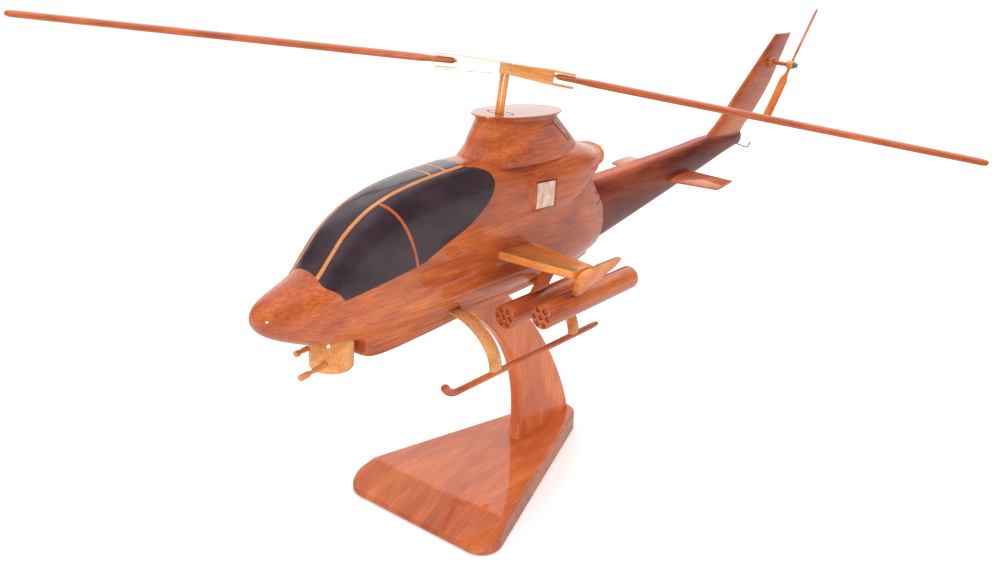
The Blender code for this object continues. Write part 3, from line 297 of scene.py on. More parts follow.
def add_bevel(item, width, segments=3, sharpest=38):
    """Eases the edges that are sharper than an angle in degrees."""
    modifier = item.modifiers.new("Eased edges", "BEVEL")
    modifier.width = width * MM
    modifier.segments = segments
    modifier.limit_method = "ANGLE"
    modifier.angle_limit = math.radians(sharpest)
    modifier.harden_normals = True
    modifier.use_clamp_overlap = True


def cut(item, cutter_bm, place, lining=None):
    """Cuts a drawn shape out of an object; the cutter isn't kept, but the cut faces can get their own
    material, such as the near-black painted shade of the grooves.
    """
    cutter = mesh_object(item.name + "_cutter", cutter_bm, lining or item.data.materials[0], place)
    modifier = item.modifiers.new("Cut", "BOOLEAN")
    modifier.operation = "DIFFERENCE"
    modifier.solver = "EXACT"
    modifier.material_mode = "TRANSFER"
    modifier.object = cutter
    bpy.context.view_layer.objects.active = item
    bpy.ops.object.modifier_apply(modifier=modifier.name)
    bpy.data.objects.remove(cutter)


def settle(item, node, body=AIRFRAME, sharp_from=None):
    """Hangs a finished object on its body, in place of the CAD node it stands for."""
    if sharp_from:
        item.data.shade_smooth()
        item.data.set_sharp_from_angle(angle=math.radians(sharp_from))
    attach(item, body)
    if node:
        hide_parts(node)


def piece(name, bm, material, node, bevel=0.0, body=AIRFRAME, place=HELICOPTER):
    """A visible piece with eased edges, or with its creases kept."""
    item = mesh_object(name, bm, material, place)
    if bevel:
        add_bevel(item, bevel)
    settle(item, node, body, None if bevel else 45)


def superellipse_ring(y, half_width, top, wide, bottom, upper, lower, count):
    """Cross-section at station y: two half superellipses that meet at their widest height."""
    ring = []
    for i in range(count):
        angle = math.tau * i / count
        sine = math.sin(angle)
        cosine = math.cos(angle)
        exponent = upper if cosine >= 0 else lower
        height = (top - wide) if cosine >= 0 else (wide - bottom)
        ring.append((half_width * power(sine, 2 / exponent), y, wide + height * power(cosine, 2 / exponent)))
    return ring


def box(low, high):
    bm = bmesh.new()
    bmesh.ops.create_cube(bm, size=1.0)
    bmesh.ops.scale(bm, vec=[h - l for l, h in zip(low, high)], verts=bm.verts)
    bmesh.ops.translate(bm, vec=[(h + l) / 2 for l, h in zip(low, high)], verts=bm.verts)
    return bm


def turned(profile, count=64):
    """Solid of revolution about Z from (radius, z) points, listed from one end to the other."""
    rings = []
    for radius, z in profile:
        rings.append([
            (radius * math.cos(math.tau * i / count), radius * math.sin(math.tau * i / count), z)
            for i in range(count)
        ])
    return loft(rings)


def sweep(path, section, sideways, count=24):
    """Solid swept along a path; section(i) gives (sideways, upright) half sizes at point i."""
    rings = []
    helper = Vector(sideways)
    for i, point in enumerate(path):
        before = Vector(path[max(i - 1, 0)])
        after = Vector(path[min(i + 1, len(path) - 1)])
        along = (after - before).normalized()
        side = (helper - along * helper.dot(along)).normalized()
        up = along.cross(side)
        wide, tall = section(i)
        turns = spread(0.0, math.tau, count)[:-1]
        rings.append([
            Vector(point) + side * wide * math.cos(turn) + up * tall * math.sin(turn) for turn in turns
        ])
    return loft(rings)


def airfoil_ring(front, rear, thickness, to_point, crest=0.6, fullness=0.7, count=22):
    """Streamlined section; to_point(along, across) places each of its points."""
    ring = []
    for side in (1, -1):
        steps = range(count) if side > 0 else range(count, 0, -1)
        for i in steps:
            share = 0.5 * (1 - math.cos(math.pi * i / count))
            bulge = thickness * 0.5 * math.sin(math.pi * share**crest) ** fullness if 0 < i < count else 0.0
            ring.append(to_point(front + (rear - front) * share, side * bulge))
    return ring


def plank(outline, thickness):
    """Flat plank from an outline in the (y, z) plane, centred on x = 0."""
    return prism([(-thickness / 2, y, z) for y, z in outline], (thickness, 0, 0))


# ---------------------------------------------------------------- materials


class Nodes:
    """Short way to add shader nodes to a material or to the world."""

    def __init__(self, owner):
        self.owner = owner
        owner.use_nodes = True
        self.tree = owner.node_tree

    def feed(self, target, value):
        """Gives an input a value, or links it to another node's output."""
        if isinstance(value, bpy.types.NodeSocket):
            self.tree.links.new(value, target)
        elif target.type == "RGBA":
            target.default_value = (*value, 1.0)
        else:
            target.default_value = value

    def add(self, kind, inputs=None, **settings):
        """New node with its settings, and its inputs fed by name or number."""
        node = self.tree.nodes.new("ShaderNode" + kind)
        for name, value in settings.items():
            setattr(node, name, value)
        for key, value in (inputs or {}).items():
            self.feed(node.inputs[key], value)
        return node

    def ramp(self, source, stops):
        """Color ramp through (position, color) stops, where a bare number is a grey."""
        node = self.add("ValToRGB", {0: source})
        elements = node.color_ramp.elements
        while len(elements) < len(stops):
            elements.new(0.5)
        for element, (position, color) in zip(elements, stops):
            element.position = position
            element.color = (color, color, color, 1.0) if isinstance(color, float) else (*color, 1.0)
        return node.outputs[0]

    def mix(self, kind, factor, first, second):
        inputs = {0: factor, 6: first, 7: second}
        return self.add("Mix", inputs, data_type="RGBA", blend_type=kind).outputs[2]

    def maths(self, operation, first, second):
        return self.add("Math", {0: first, 1: second}, operation=operation).outputs[0]

    def bump(self, height, strength, distance, under=None):
        inputs = {"Height": height, "Strength": strength, "Distance": distance}
        if under:
            inputs["Normal"] = under
        return self.add("Bump", inputs).outputs["Normal"]

    def surface(self, inputs):
        """Feeds the shader's inputs and returns the finished material."""
        shader = self.tree.nodes["Principled BSDF"]
        for name, value in inputs.items():
            self.feed(shader.inputs[name], value)
        return self.owner


GRAIN_TURNS = {  # turns the grain from the object's Y axis to another one
    "Y": (0.0, 0.0, 0.0),
    "X": (0.0, 0.0, math.pi / 2),
    "Z": (math.pi / 2, 0.0, 0.0),
}


def grain_coordinates(nodes, grain="Y", offset=(0.0, 0.0, 0.0), height_scale=1.0):
    """Object coordinates in millimetres with the grain along Y, shifted so that no two woods match."""
    return nodes.add("Mapping", {
        "Vector": nodes.add("TexCoord").outputs["Object"],
        "Scale": (1000.0, 1000.0, 1000.0 * height_scale),
        "Rotation": GRAIN_TURNS[grain],
        "Location": offset,
    }).outputs["Vector"]


def stretched_noise(nodes, vector, across, along, detail, distortion=0.0):
    """Noise drawn out along the grain; across and along are its scales per millimetre."""
    stretched = nodes.add("Mapping", {"Vector": vector, "Scale": (across, along, across)})
    return nodes.add("TexNoise", {
        "Vector": stretched.outputs["Vector"], "Scale": 1.0, "Detail": detail,
        "Roughness": 0.6, "Distortion": distortion,
    }).outputs["Fac"]


def lacquered_wood(
        name, tones, grain="Y", offset=(0.0, 0.0, 0.0), pores=0.45, coat=1.0, painted_top_brightness=None, sheet=False):
    """Clear-lacquered carved wood: broad colour bands, fine fibres, short dark pores, worn edges.

    Upward faces can take painted light or shade, from a (factor, start, full) argument: the color is
    multiplied by factor where the surface faces up, lighter with a factor over 1 and darker with one
    under 1, and start and full are the upward shares of the normal where that begins and is complete.
    A sheet's grain hardly changes through its thickness.
    """
    dark, middle, light = tones
    nodes = Nodes(bpy.data.materials.new(name))
    vector = grain_coordinates(nodes, grain, offset, 0.1 if sheet else 1.0)
    bands = stretched_noise(nodes, vector, 0.045, 0.010, 2.0, 0.6)
    fibres = stretched_noise(nodes, vector, 0.9, 0.045, 5.0)
    mottle = stretched_noise(nodes, vector, 0.050, 0.030, 2.0)
    pore_noise = stretched_noise(nodes, vector, 2.2, 0.22, 2.0)
    tone = nodes.maths("ADD", nodes.maths("MULTIPLY", bands, 0.55), nodes.maths("MULTIPLY", fibres, 0.45))
    color = nodes.ramp(tone, [(0.34, dark), (0.50, middle), (0.66, light)])
    mottled = nodes.ramp(mottle, [(0.35, (0.86, 0.82, 0.80)), (0.65, (1.12, 1.10, 1.08))])
    color = nodes.mix("MULTIPLY", 0.8, color, mottled)
    pore_mask = nodes.ramp(pore_noise, [(0.33, 1.0), (0.42, 0.0)])
    deep = tuple(channel * 0.45 for channel in dark)
    color = nodes.mix("MIX", nodes.maths("MULTIPLY", pore_mask, pores), color, deep)
    geometry = nodes.add("NewGeometry")
    edge = nodes.ramp(geometry.outputs["Pointiness"], [(0.53, 0.0), (0.62, 1.0)])
    worn = tuple(min(1.0, channel * 1.25) for channel in light)
    color = nodes.mix("MIX", nodes.maths("MULTIPLY", edge, 0.25), color, worn)
    # Painted light or shade: upward-facing surfaces are multiplied towards the given factor.
    if painted_top_brightness:
        factor, start, full = painted_top_brightness
        facing = nodes.add("SeparateXYZ", {0: geometry.outputs["Normal"]})
        upward = nodes.ramp(facing.outputs["Z"], [(start, 0.0), (full, 1.0)])
        top_light_paint = nodes.mix("MIX", upward, (1.0, 1.0, 1.0), (factor, factor, factor))
        color = nodes.mix("MULTIPLY", 1.0, color, top_light_paint)
    ripple = nodes.bump(stretched_noise(nodes, vector, 0.050, 0.030, 1.0), 0.10, 0.0006)
    return nodes.surface({
        "Base Color": color,
        "Roughness": nodes.ramp(mottle, [(0.3, 0.36), (0.7, 0.48)]),
        "Specular IOR Level": 0.2,
        "Coat Weight": coat,
        "Coat Roughness": 0.035,
        "Coat IOR": 1.5,
        "Normal": nodes.bump(pore_noise, 0.12, 0.0001, ripple),
        "Coat Normal": ripple,
    })


def black_lacquer(name):
    """Near-black glossy canopy panels with a faint brushed unevenness."""
    nodes = Nodes(bpy.data.materials.new(name))
    vector = grain_coordinates(nodes, offset=(7.0, 3.0, 11.0))
    cloud = stretched_noise(nodes, vector, 0.05, 0.03, 3.0)
    streak = stretched_noise(nodes, vector, 0.9, 0.05, 3.0)
    bump = nodes.bump(cloud, 0.10, 0.0005)
    return nodes.surface({
        "Base Color": nodes.ramp(cloud, [(0.3, (0.020, 0.010, 0.014)), (0.7, (0.052, 0.032, 0.041))]),
        "Roughness": nodes.ramp(streak, [(0.3, 0.20), (0.7, 0.32)]),
        "Specular IOR Level": 0.25,
        "Coat Weight": 0.75,
        "Coat Roughness": 0.04,
        "Coat IOR": 1.35,
        "Normal": bump,
        "Coat Normal": bump,
    })


def mottled_pale(name):
    """Pale, unevenly stained plate at the bottom of the intakes."""
    nodes = Nodes(bpy.data.materials.new(name))
    vector = grain_coordinates(nodes, "Z", (1.0, 5.0, 2.0))
    patches = stretched_noise(nodes, vector, 0.16, 0.07, 3.0, 1.2)
    stains = [(0.32, (0.56, 0.34, 0.22)), (0.48, (0.72, 0.53, 0.42)), (0.64, (0.84, 0.72, 0.63))]
    return nodes.surface({
        "Base Color": nodes.ramp(patches, stains),
        "Roughness": 0.35,
        "Coat Weight": 0.6,
        "Coat Roughness": 0.12,
        "Normal": nodes.bump(patches, 0.3, 0.0003),
    })


def grey_metal(name):
    """Dull grey wire and nut with drawing marks."""
    nodes = Nodes(bpy.data.materials.new(name))
    marks = stretched_noise(nodes, grain_coordinates(nodes, offset=(0.0, 2.0, 0.0)), 3.0, 0.4, 3.0)
    return nodes.surface({
        "Base Color": nodes.ramp(marks, [(0.3, (0.20, 0.19, 0.19)), (0.7, (0.42, 0.41, 0.41))]),
        "Roughness": nodes.ramp(marks, [(0.3, 0.25), (0.7, 0.45)]),
        "Metallic": 0.9,
        "Normal": nodes.bump(marks, 0.2, 0.0001),
    })


# Colors of each wood: dark, middle, light
RED_TONES = ((0.250, 0.038, 0.010), (0.440, 0.090, 0.021), (0.620, 0.170, 0.038))
# Base: darker than the column's copy of the same wood, as painted shade on its sloping front and sides.
BASE_TONES = ((0.330, 0.060, 0.018), (0.460, 0.102, 0.029), (0.590, 0.165, 0.045))
COLUMN_TONES = ((0.460, 0.092, 0.027), (0.620, 0.150, 0.045), (0.760, 0.220, 0.068))
# Boom: darker wood than the body, set darker still as painted shade on its flanks.
BOOM_TONES = ((0.075, 0.011, 0.006), (0.155, 0.025, 0.011), (0.260, 0.052, 0.019))
WING_TONES = ((0.380, 0.080, 0.016), (0.640, 0.190, 0.040), (0.840, 0.340, 0.085))
BARREL_TONES = ((0.360, 0.085, 0.025), (0.580, 0.190, 0.055), (0.780, 0.330, 0.105))
ORANGE_TONES = ((0.460, 0.140, 0.030), (0.700, 0.280, 0.070), (0.860, 0.450, 0.140))
# Front skid legs: paler copy of the rear legs' wood, painted light for the flash on their camera-facing
# faces.
FLASH_LIT_LEG_TONES = ((0.380, 0.120, 0.035), (0.580, 0.240, 0.075), (0.730, 0.390, 0.150))
STRIP_TONES = ((0.360, 0.110, 0.030), (0.520, 0.190, 0.052), (0.680, 0.300, 0.095))
# Near-black inside of the engraved grooves: painted shade in the narrow cuts.
GROOVE_SHADE_TONES = ((0.012, 0.004, 0.003), (0.025, 0.008, 0.005), (0.045, 0.014, 0.008))

MAHOGANY = lacquered_wood("mahogany_fore_aft", RED_TONES)
# Boom: its upward faces are painted 2.2 times lighter, a painted reflection of a bright wall along its back.
BOOM_WOOD = lacquered_wood(
    "mahogany_boom", BOOM_TONES, offset=(40.0, 0.0, 9.0), coat=0.22, painted_top_brightness=(2.2, 0.55, 0.85))
FIN_WOOD = lacquered_wood("mahogany_fin", RED_TONES, offset=(21.0, 11.0, 51.0), coat=0.7)
# Wings: bright tones with the upward faces painted darker, to 0.42, as painted shade on the wing tops, so
# that the blunt leading edges stand out as if lit.
WING_WOOD = lacquered_wood(
    "mahogany_wing", WING_TONES, "X", (61.0, 11.0, 5.0), coat=0.6, painted_top_brightness=(0.42, 0.985, 0.998))
POD_WOOD = lacquered_wood("mahogany_pod", RED_TONES, offset=(3.0, 41.0, 25.0))
SKID_WOOD = lacquered_wood("mahogany_skid", RED_TONES, offset=(8.0, 141.0, 25.0))
# Base: the top is painted 1.3 times lighter, a painted reflection, above the darker front slope and sides.
BASE_WOOD = lacquered_wood(
    "mahogany_base", BASE_TONES, "Y", (90.0, 31.0, 0.0), 0.3, painted_top_brightness=(1.30, 0.90, 0.98), sheet=True)
COLUMN_WOOD = lacquered_wood("mahogany_column", COLUMN_TONES, "Z", (13.0, 55.0, 0.0), 0.2)
BLADE_WOOD = lacquered_wood("mahogany_blade", RED_TONES, "X", (3.0, 75.0, 0.0), coat=0.5)
TAIL_BLADE_WOOD = lacquered_wood("mahogany_tail_blade", RED_TONES, "Z", (33.0, 15.0, 0.0), coat=0.6)
ARM_WOOD = lacquered_wood("light_wood_arm", ORANGE_TONES, "X", (5.0, 5.0, 0.0), 0.3)
MAST_WOOD = lacquered_wood("light_wood_mast", WING_TONES, "Z", (35.0, 5.0, 0.0), 0.4)
TURRET_WOOD = lacquered_wood("light_wood_turned", ORANGE_TONES, "X", (25.0, 5.0, 0.0), 0.6)
BARREL_WOOD = lacquered_wood("light_wood_rod", BARREL_TONES, "Y", (65.0, 5.0, 0.0), 0.3)
# Front legs painted paler as flash light; the rear legs keep the plainer orange of the same wood.
FLASH_LIT_LEG_WOOD = lacquered_wood("light_wood_leg_flash_lit", FLASH_LIT_LEG_TONES, "X", (15.0, 95.0, 0.0), 0.3)
REAR_LEG_WOOD = lacquered_wood("light_wood_rear_leg", BARREL_TONES, "X", (45.0, 5.0, 0.0), 0.4)
# Near-black wood for the cut faces of the engraved grooves: painted shade in the narrow cuts.
GROOVE_SHADE_WOOD = lacquered_wood("engraved_line_painted_shade", GROOVE_SHADE_TONES, coat=0.2)
STRIP_WOOD = lacquered_wood("light_wood_strip", STRIP_TONES, "Y", (5.0, 35.0, 0.0), 0.2)
SIDE_STRIP_WOOD = lacquered_wood("mahogany_strip", RED_TONES, "Z", (5.0, 35.0, 7.0), 0.3)
CANOPY_BLACK = black_lacquer("canopy_black")
PALE_INSERT = mottled_pale("intake_pale")
STEEL = grey_metal("grey_wire")

# ---------------------------------------------------------------- fuselage


def body_point(y, angle):
    """Point of the body surface at station y; angle runs from the crown down the port side."""
    half_width = smooth(BODY_HALF_WIDTH, y)
    wide = smooth(BODY_WIDE_Z, y)
    exponent = 2 / smooth(BODY_UPPER_POWER, y)
    x = half_width * power(math.sin(angle), exponent)
    z = wide + (smooth(BODY_TOP, y) - wide) * power(math.cos(angle), exponent)
    return Vector((x, y, z))


def body_normal(y, angle):
    """Outward normal of the body, averaged over a few millimetres."""
    turn = 0.05
    reach = 3.0
    around = body_point(y, angle + turn) - body_point(y, angle - turn)
    along = body_point(y + reach, angle) - body_point(y - reach, angle)
    return around.cross(along).normalized()


def nose_stations():
    """Stations packed towards the blunt nose tip, then evenly to the rear bulkhead."""
    first = BODY_TOP[0][0]
    bend = -150.0
    nose = [first + (bend - first) * (i / 22) ** 2 for i in range(22)]
    return nose + spread(bend, 97.0, 110)


def body_mesh():
    rings = []
    for y in nose_stations():
        rings.append(superellipse_ring(
            y, smooth(BODY_HALF_WIDTH, y), smooth(BODY_TOP, y), smooth(BODY_WIDE_Z, y),
            smooth(BODY_BOTTOM, y), smooth(BODY_UPPER_POWER, y), smooth(BODY_LOWER_POWER, y), 120))
    return loft(rings)


def cowling_mesh():
    rings = []
    for y in spread(COWLING_TOP[0][0], COWLING_TOP[-1][0], 60):
        top = smooth(COWLING_TOP, y)
        bottom = smooth(COWLING_BOTTOM, y)
        wide = 0.4 * top + 0.6 * bottom
        rings.append(superellipse_ring(y, smooth(COWLING_HALF_WIDTH, y), top, wide, bottom, 2.3, 6.0, 110))
    return loft(rings)


def keel_mesh():
    rings = []
    for y in spread(KEEL_BOTTOM[0][0], KEEL_BOTTOM[-1][0], 70):
        rings.append(superellipse_ring(
            y, smooth(KEEL_HALF_WIDTH, y), -92.0, -98.0, smooth(KEEL_BOTTOM, y), 4.0, 6.0, 72))
    return loft(rings)


def groove(path, radius):
    """Thin round cutter along a path."""
    return sweep(path, lambda i: (radius, radius), (0.3, 0.2, 1.0), 10)


def groove_loop(path, radius):
    """Thin round cutter along a level closed path."""
    rings = []
    for i, point in enumerate(path):
        along = (Vector(path[(i + 1) % len(path)]) - Vector(path[i - 1])).normalized()
        side = along.cross(Vector((0, 0, 1))).normalized()
        up = side.cross(along)
        rings.append([
            Vector(point) + radius * (side * math.cos(turn) + up * math.sin(turn))
            for turn in spread(0.0, math.tau, 10)[:-1]
        ])
    return loft(rings, closed=True)


def bulkhead_lines():
    """Two short lines engraved on each flank, just ahead of the rear bulkhead."""
    lines = []
    for height in (-58.5, -65.0):
        for side in (1, -1):
            points = [body_point(y, angle_at_z(y, height + 0.25 * (y - 86.0))) for y in spread(86.0, 96.5, 8)]
            lines.append(groove([(side * point.x, point.y, point.z) for point in points], 0.45))
    return lines


VOXEL = 0.8
INTAKE_LOW = (17.4, 13.0, -54.5)
INTAKE_HIGH = (30.0, 30.0, -37.5)
TURRET_SEAT = [(12.3, -125.0), (12.3, -98.0), (2.1, -98.0), (2.1, -89.7)]  # (radius, z)


def fuselage():
    """Body, cowling and keel melted into one carved block with softened edges."""
    item = mesh_object("fuselage_block", body_mesh(), MAHOGANY, HELICOPTER)
    parts = [mesh_object("shape", bm, MAHOGANY, HELICOPTER) for bm in (cowling_mesh(), keel_mesh())]
    bpy.ops.object.select_all(action="DESELECT")
    for part in (*parts, item):
        part.select_set(True)
    bpy.context.view_layer.objects.active = item
    bpy.ops.object.join()
    melt = item.modifiers.new("Melt", "REMESH")
    melt.mode = "VOXEL"
    melt.voxel_size = VOXEL * MM
    melt.use_smooth_shade = True
    soften = item.modifiers.new("Soften", "SMOOTH")
    soften.factor = 0.5
    soften.iterations = 4
    for modifier in (melt, soften):
        bpy.ops.object.modifier_apply(modifier=modifier.name)
    for side, _ in SIDES:
        cut(item, mirrored(box(INTAKE_LOW, INTAKE_HIGH), side), HELICOPTER)
    for line in bulkhead_lines():
        cut(item, line, HELICOPTER, GROOVE_SHADE_WOOD)
    cut(item, turned(TURRET_SEAT), TURRET)
    settle(item, "fuselage", sharp_from=50)


def intake_plate():
    """Plate that closes an intake; it follows the flare of the cowling and leaves a gap above."""
    bm = box((17.6, INTAKE_LOW[1] + 0.1, INTAKE_LOW[2] + 0.1), (20.2, INTAKE_HIGH[1] - 0.1, -38.8))
    flare = 1.8
    for vert in bm.verts:
        vert.co.x += flare * (vert.co.y - INTAKE_LOW[1]) / (INTAKE_HIGH[1] - INTAKE_LOW[1])
    return bm


def intake_inserts():
    """Pale plate in each engine intake."""
    for side, name in SIDES:
        bm = mirrored(intake_plate(), side)
        piece("intake_plate_" + name, bm, PALE_INSERT, "intake_insert_" + name, 0.25)


# ---------------------------------------------------------------- canopy


def angle_at_x(y, x):
    half_width = smooth(BODY_HALF_WIDTH, y)
    exponent = smooth(BODY_UPPER_POWER, y) / 2
    return math.copysign(math.asin(min(1.0, (abs(x) / half_width) ** exponent)), x)


def angle_at_z(y, z):
    wide = smooth(BODY_WIDE_Z, y)
    exponent = smooth(BODY_UPPER_POWER, y) / 2
    share = (z - wide) / (smooth(BODY_TOP, y) - wide)
    return math.acos(min(1.0, max(0.0, share)) ** exponent)


def sill_angle(y):
    return angle_at_z(y, SILL_HEIGHT_AT_95 + SILL_SLOPE * (y + 95))


def windshield_base_y(v):
    return WINDSHIELD_BASE_Y + (SILL_FRONT_Y - WINDSHIELD_BASE_Y) * v**2.2


def canopy_rear_y(v):
    """The rounded rear edge of a side window, from roof strip (v=0) to sill (v=1)."""
    return smooth(WINDOW_REAR, v)


def side_strip_y(v):
    return SIDE_STRIP_TOP_Y + (SIDE_STRIP_SILL_Y - SIDE_STRIP_TOP_Y) * v**1.15


def surface_shell(point_at, columns, rows, proud):
    """Closed thin shell on the body, with edges that roll over; point_at(u, v) gives (y, angle)."""
    bm = bmesh.new()
    roll = 0.35
    layers = []
    for height in (proud, -0.9):
        layer = []
        for i in range(columns + 1):
            line = []
            for j in range(rows + 1):
                y, angle = point_at(i / columns, j / rows)
                rim = i in (0, columns) or j in (0, rows)
                offset = height - roll * proud if rim and height > 0 else height
                line.append(bm.verts.new(body_point(y, angle) + body_normal(y, angle) * offset))
            layer.append(line)
        layers.append(layer)
    top, under = layers
    for i in range(columns):
        for j in range(rows):
            bm.faces.new((top[i][j], top[i + 1][j], top[i + 1][j + 1], top[i][j + 1]))
            bm.faces.new((under[i][j], under[i][j + 1], under[i + 1][j + 1], under[i + 1][j]))
    for i in range(columns):
        bm.faces.new((top[i][0], under[i][0], under[i + 1][0], top[i + 1][0]))
        bm.faces.new((top[i][rows], top[i + 1][rows], under[i + 1][rows], under[i][rows]))
    for j in range(rows):
        bm.faces.new((top[0][j], top[0][j + 1], under[0][j + 1], under[0][j]))
        bm.faces.new((top[columns][j], under[columns][j], under[columns][j + 1], top[columns][j + 1]))
    return bm


def side_panel(front, rear):
    """Side window between a front edge and a rear edge, each a function of v."""
    def point_at(u, v):
        y = front(v) + (rear(v) - front(v)) * u
        roof = angle_at_x(y, WINDOW_TOP_X)
        return y, roof + (sill_angle(y) - roof) * v

    return point_at


def roof_band(low_x, high_x, front_y, rear_y):
    """Band over the roof between two lateral positions."""
    def point_at(u, v):
        y = front_y + (rear_y - front_y) * u
        return y, angle_at_x(y, low_x) + (angle_at_x(y, high_x) - angle_at_x(y, low_x)) * v

    return point_at


PANEL_PROUD = 0.16
STRIP_PROUD = 0.34


def inlay(name, point_at, columns, rows, side=1, wood=None):
    """Part of the canopy: a black panel, or a strip of the given wood that stands a bit prouder."""
    proud = STRIP_PROUD if wood else PANEL_PROUD
    bm = mirrored(surface_shell(point_at, columns, rows, proud), side)
    if wood:
        piece(name, bm, wood, "canopy_" + name)
    else:
        piece("black_" + name, bm, CANOPY_BLACK, "canopy_" + name)


def canopy():
    half_strip = STRIP_WIDTH / 2
    clear = half_strip + PANEL_GAP
    centre_half = ROOF_STRIP_X - clear
    stops = [WINDSHIELD_BASE_Y, *CROSS_STRIP_YS, ROOF_REAR_Y]
    for index, name in enumerate(("windshield_panel", "roof_panel_middle", "roof_panel_rear")):
        front_y = stops[index] + (clear if index else 0.0)
        rear_y = stops[index + 1] - (clear if index < 2 else 0.0)
        inlay(name, roof_band(-centre_half, centre_half, front_y, rear_y), 14 if index else 90, 24)
    for name, y in zip(("front", "rear"), CROSS_STRIP_YS):
        band = roof_band(-centre_half, centre_half, y - half_strip, y + half_strip)
        inlay("cross_strip_" + name, band, 5, 24, wood=STRIP_WOOD)
    front = side_panel(windshield_base_y, lambda v: side_strip_y(v) - clear)
    rear = side_panel(lambda v: side_strip_y(v) + clear, canopy_rear_y)
    strip = side_panel(lambda v: side_strip_y(v) - half_strip, lambda v: side_strip_y(v) + half_strip)
    roof = roof_band(ROOF_STRIP_X - half_strip, ROOF_STRIP_X + half_strip, WINDSHIELD_BASE_Y, ROOF_REAR_Y)
    for side, name in SIDES:
        inlay("front_window_" + name, front, 56, 44, side)
        inlay("rear_window_" + name, rear, 64, 44, side)
        inlay("side_strip_" + name, strip, 5, 44, side, SIDE_STRIP_WOOD)
        inlay("roof_strip_" + name, roof, 110, 5, side, STRIP_WOOD)


# ---------------------------------------------------------------- pylon fairing


def oval_ring(z, half_length, half_width, centre_y, tilt=0.0, count=120):
    ring = []
    for i in range(count):
        angle = math.tau * i / count
        aft = half_length * math.cos(angle)
        ring.append((half_width * math.sin(angle), centre_y + aft, z + tilt * aft))
    return ring


FAIRING_HEIGHTS = [-27.0, -22.0, -17.0, -10.0, -5.4, -3.2]
FAIRING_HALF_LENGTH = [(-27.0, 55.5), (-22.0, 51.5), (-17.0, 45.5), (-10.0, 38.4), (-5.4, 34.0), (-3.2, 32.5)]
FAIRING_HALF_WIDTH = [(-27.0, 20.0), (-22.0, 19.4), (-17.0, 18.6), (-10.0, 17.8), (-5.4, 17.0), (-3.2, 16.6)]
FAIRING_CENTRE_Y = [(-27.0, 21.0), (-22.0, 19.8), (-17.0, 19.9), (-10.0, 17.7), (-5.4, 17.0), (-3.2, 17.0)]
PLATE_PROFILE = [  # (height, half length, half width) of the flared brim
    (-3.1, 32.5, 16.6), (-2.2, 33.2, 16.9), (-1.5, 34.4, 17.5), (-0.95, 35.7, 18.1),
    (-0.6, 36.2, 18.4), (-0.2, 36.15, 18.35), (0.0, 35.8, 18.1), (0.0, 34.6, 17.2),
]
GROOVE_HALF_LENGTH = 8.6
GROOVE_HALF_WIDTH = 4.6


def fairing_line(side, start, end):
    """Engraved line down the fairing, from an angle at its top to another near its foot."""
    path = []
    for share in spread(0.0, 1.0, 16):
        z = -4.0 - 15.0 * share
        angle = start + (end - start) * share
        x = side * smooth(FAIRING_HALF_WIDTH, z) * math.sin(angle)
        y = smooth(FAIRING_CENTRE_Y, z) + smooth(FAIRING_HALF_LENGTH, z) * math.cos(angle)
        path.append((x, y, z))
    return groove(path, 0.4)


PLATE_CENTRE_Y = 17.0
FAIRING_LINE_ANGLES = ((66.0, 50.0), (40.0, 46.0))  # degrees, at the top and near the foot


def pylon():
    """Oval fairing with its flared plate, and the thin oval line engraved round the mast."""
    rings = []
    for z in spread(FAIRING_HEIGHTS[0], FAIRING_HEIGHTS[-1], 36):
        tilt = PLATE_TILT if z > -6.0 else 0.0
        sizes = [smooth(curve, z) for curve in (FAIRING_HALF_LENGTH, FAIRING_HALF_WIDTH, FAIRING_CENTRE_Y)]
        rings.append(oval_ring(z, *sizes, tilt))
    cone = mesh_object("fairing_cone", loft(rings), MAHOGANY, HELICOPTER)
    for start, end in FAIRING_LINE_ANGLES:
        for side, _ in SIDES:
            cut(cone, fairing_line(side, math.radians(start), math.radians(end)), HELICOPTER, GROOVE_SHADE_WOOD)
    rings = [oval_ring(z, length, width, PLATE_CENTRE_Y, PLATE_TILT) for z, length, width in PLATE_PROFILE]
    plate = mesh_object("fairing_plate", loft(rings), MAHOGANY, HELICOPTER)
    oval = []
    for turn in spread(0.0, math.tau, 72)[:-1]:
        y = 1.0 + GROOVE_HALF_WIDTH * math.sin(turn)
        oval.append((GROOVE_HALF_LENGTH * math.cos(turn), y, 0.1 + PLATE_TILT * (y - PLATE_CENTRE_Y)))
    cut(plate, groove_loop(oval, 0.5), HELICOPTER, GROOVE_SHADE_WOOD)
    settle(cone, "pylon_fairing", sharp_from=40)
    settle(plate, "pylon_cap", sharp_from=40)


# ---------------------------------------------------------------- tail


SPINE_SHARE = 0.07  # how much of the boom's upper half is planed flat along its back


def boom_mesh():
    """Boom with a narrow flat planed along its back, which leaves a crease on each side."""
    rings = []
    for y in spread(97.2, 313.0, 90):
        top = smooth(BOOM_TOP, y)
        bottom = smooth(BOOM_BOTTOM, y)
        wide = 0.55 * top + 0.45 * bottom
        crown = wide + (top - wide) * (1 + SPINE_SHARE)
        ring = superellipse_ring(y, smooth(BOOM_HALF_WIDTH, y), crown, wide, bottom, 2.0, 2.0, 96)
        rings.append([(x, along, min(z, top)) for x, along, z in ring])
    return loft(rings)


STABILISER_ROOT_Z = -67.5
SKID_WIRE_PATH = [(313.5, -57.6), (322, -60.2), (329, -62.2), (332.5, -62.8), (334.5, -62.2), (336.5, -59)]


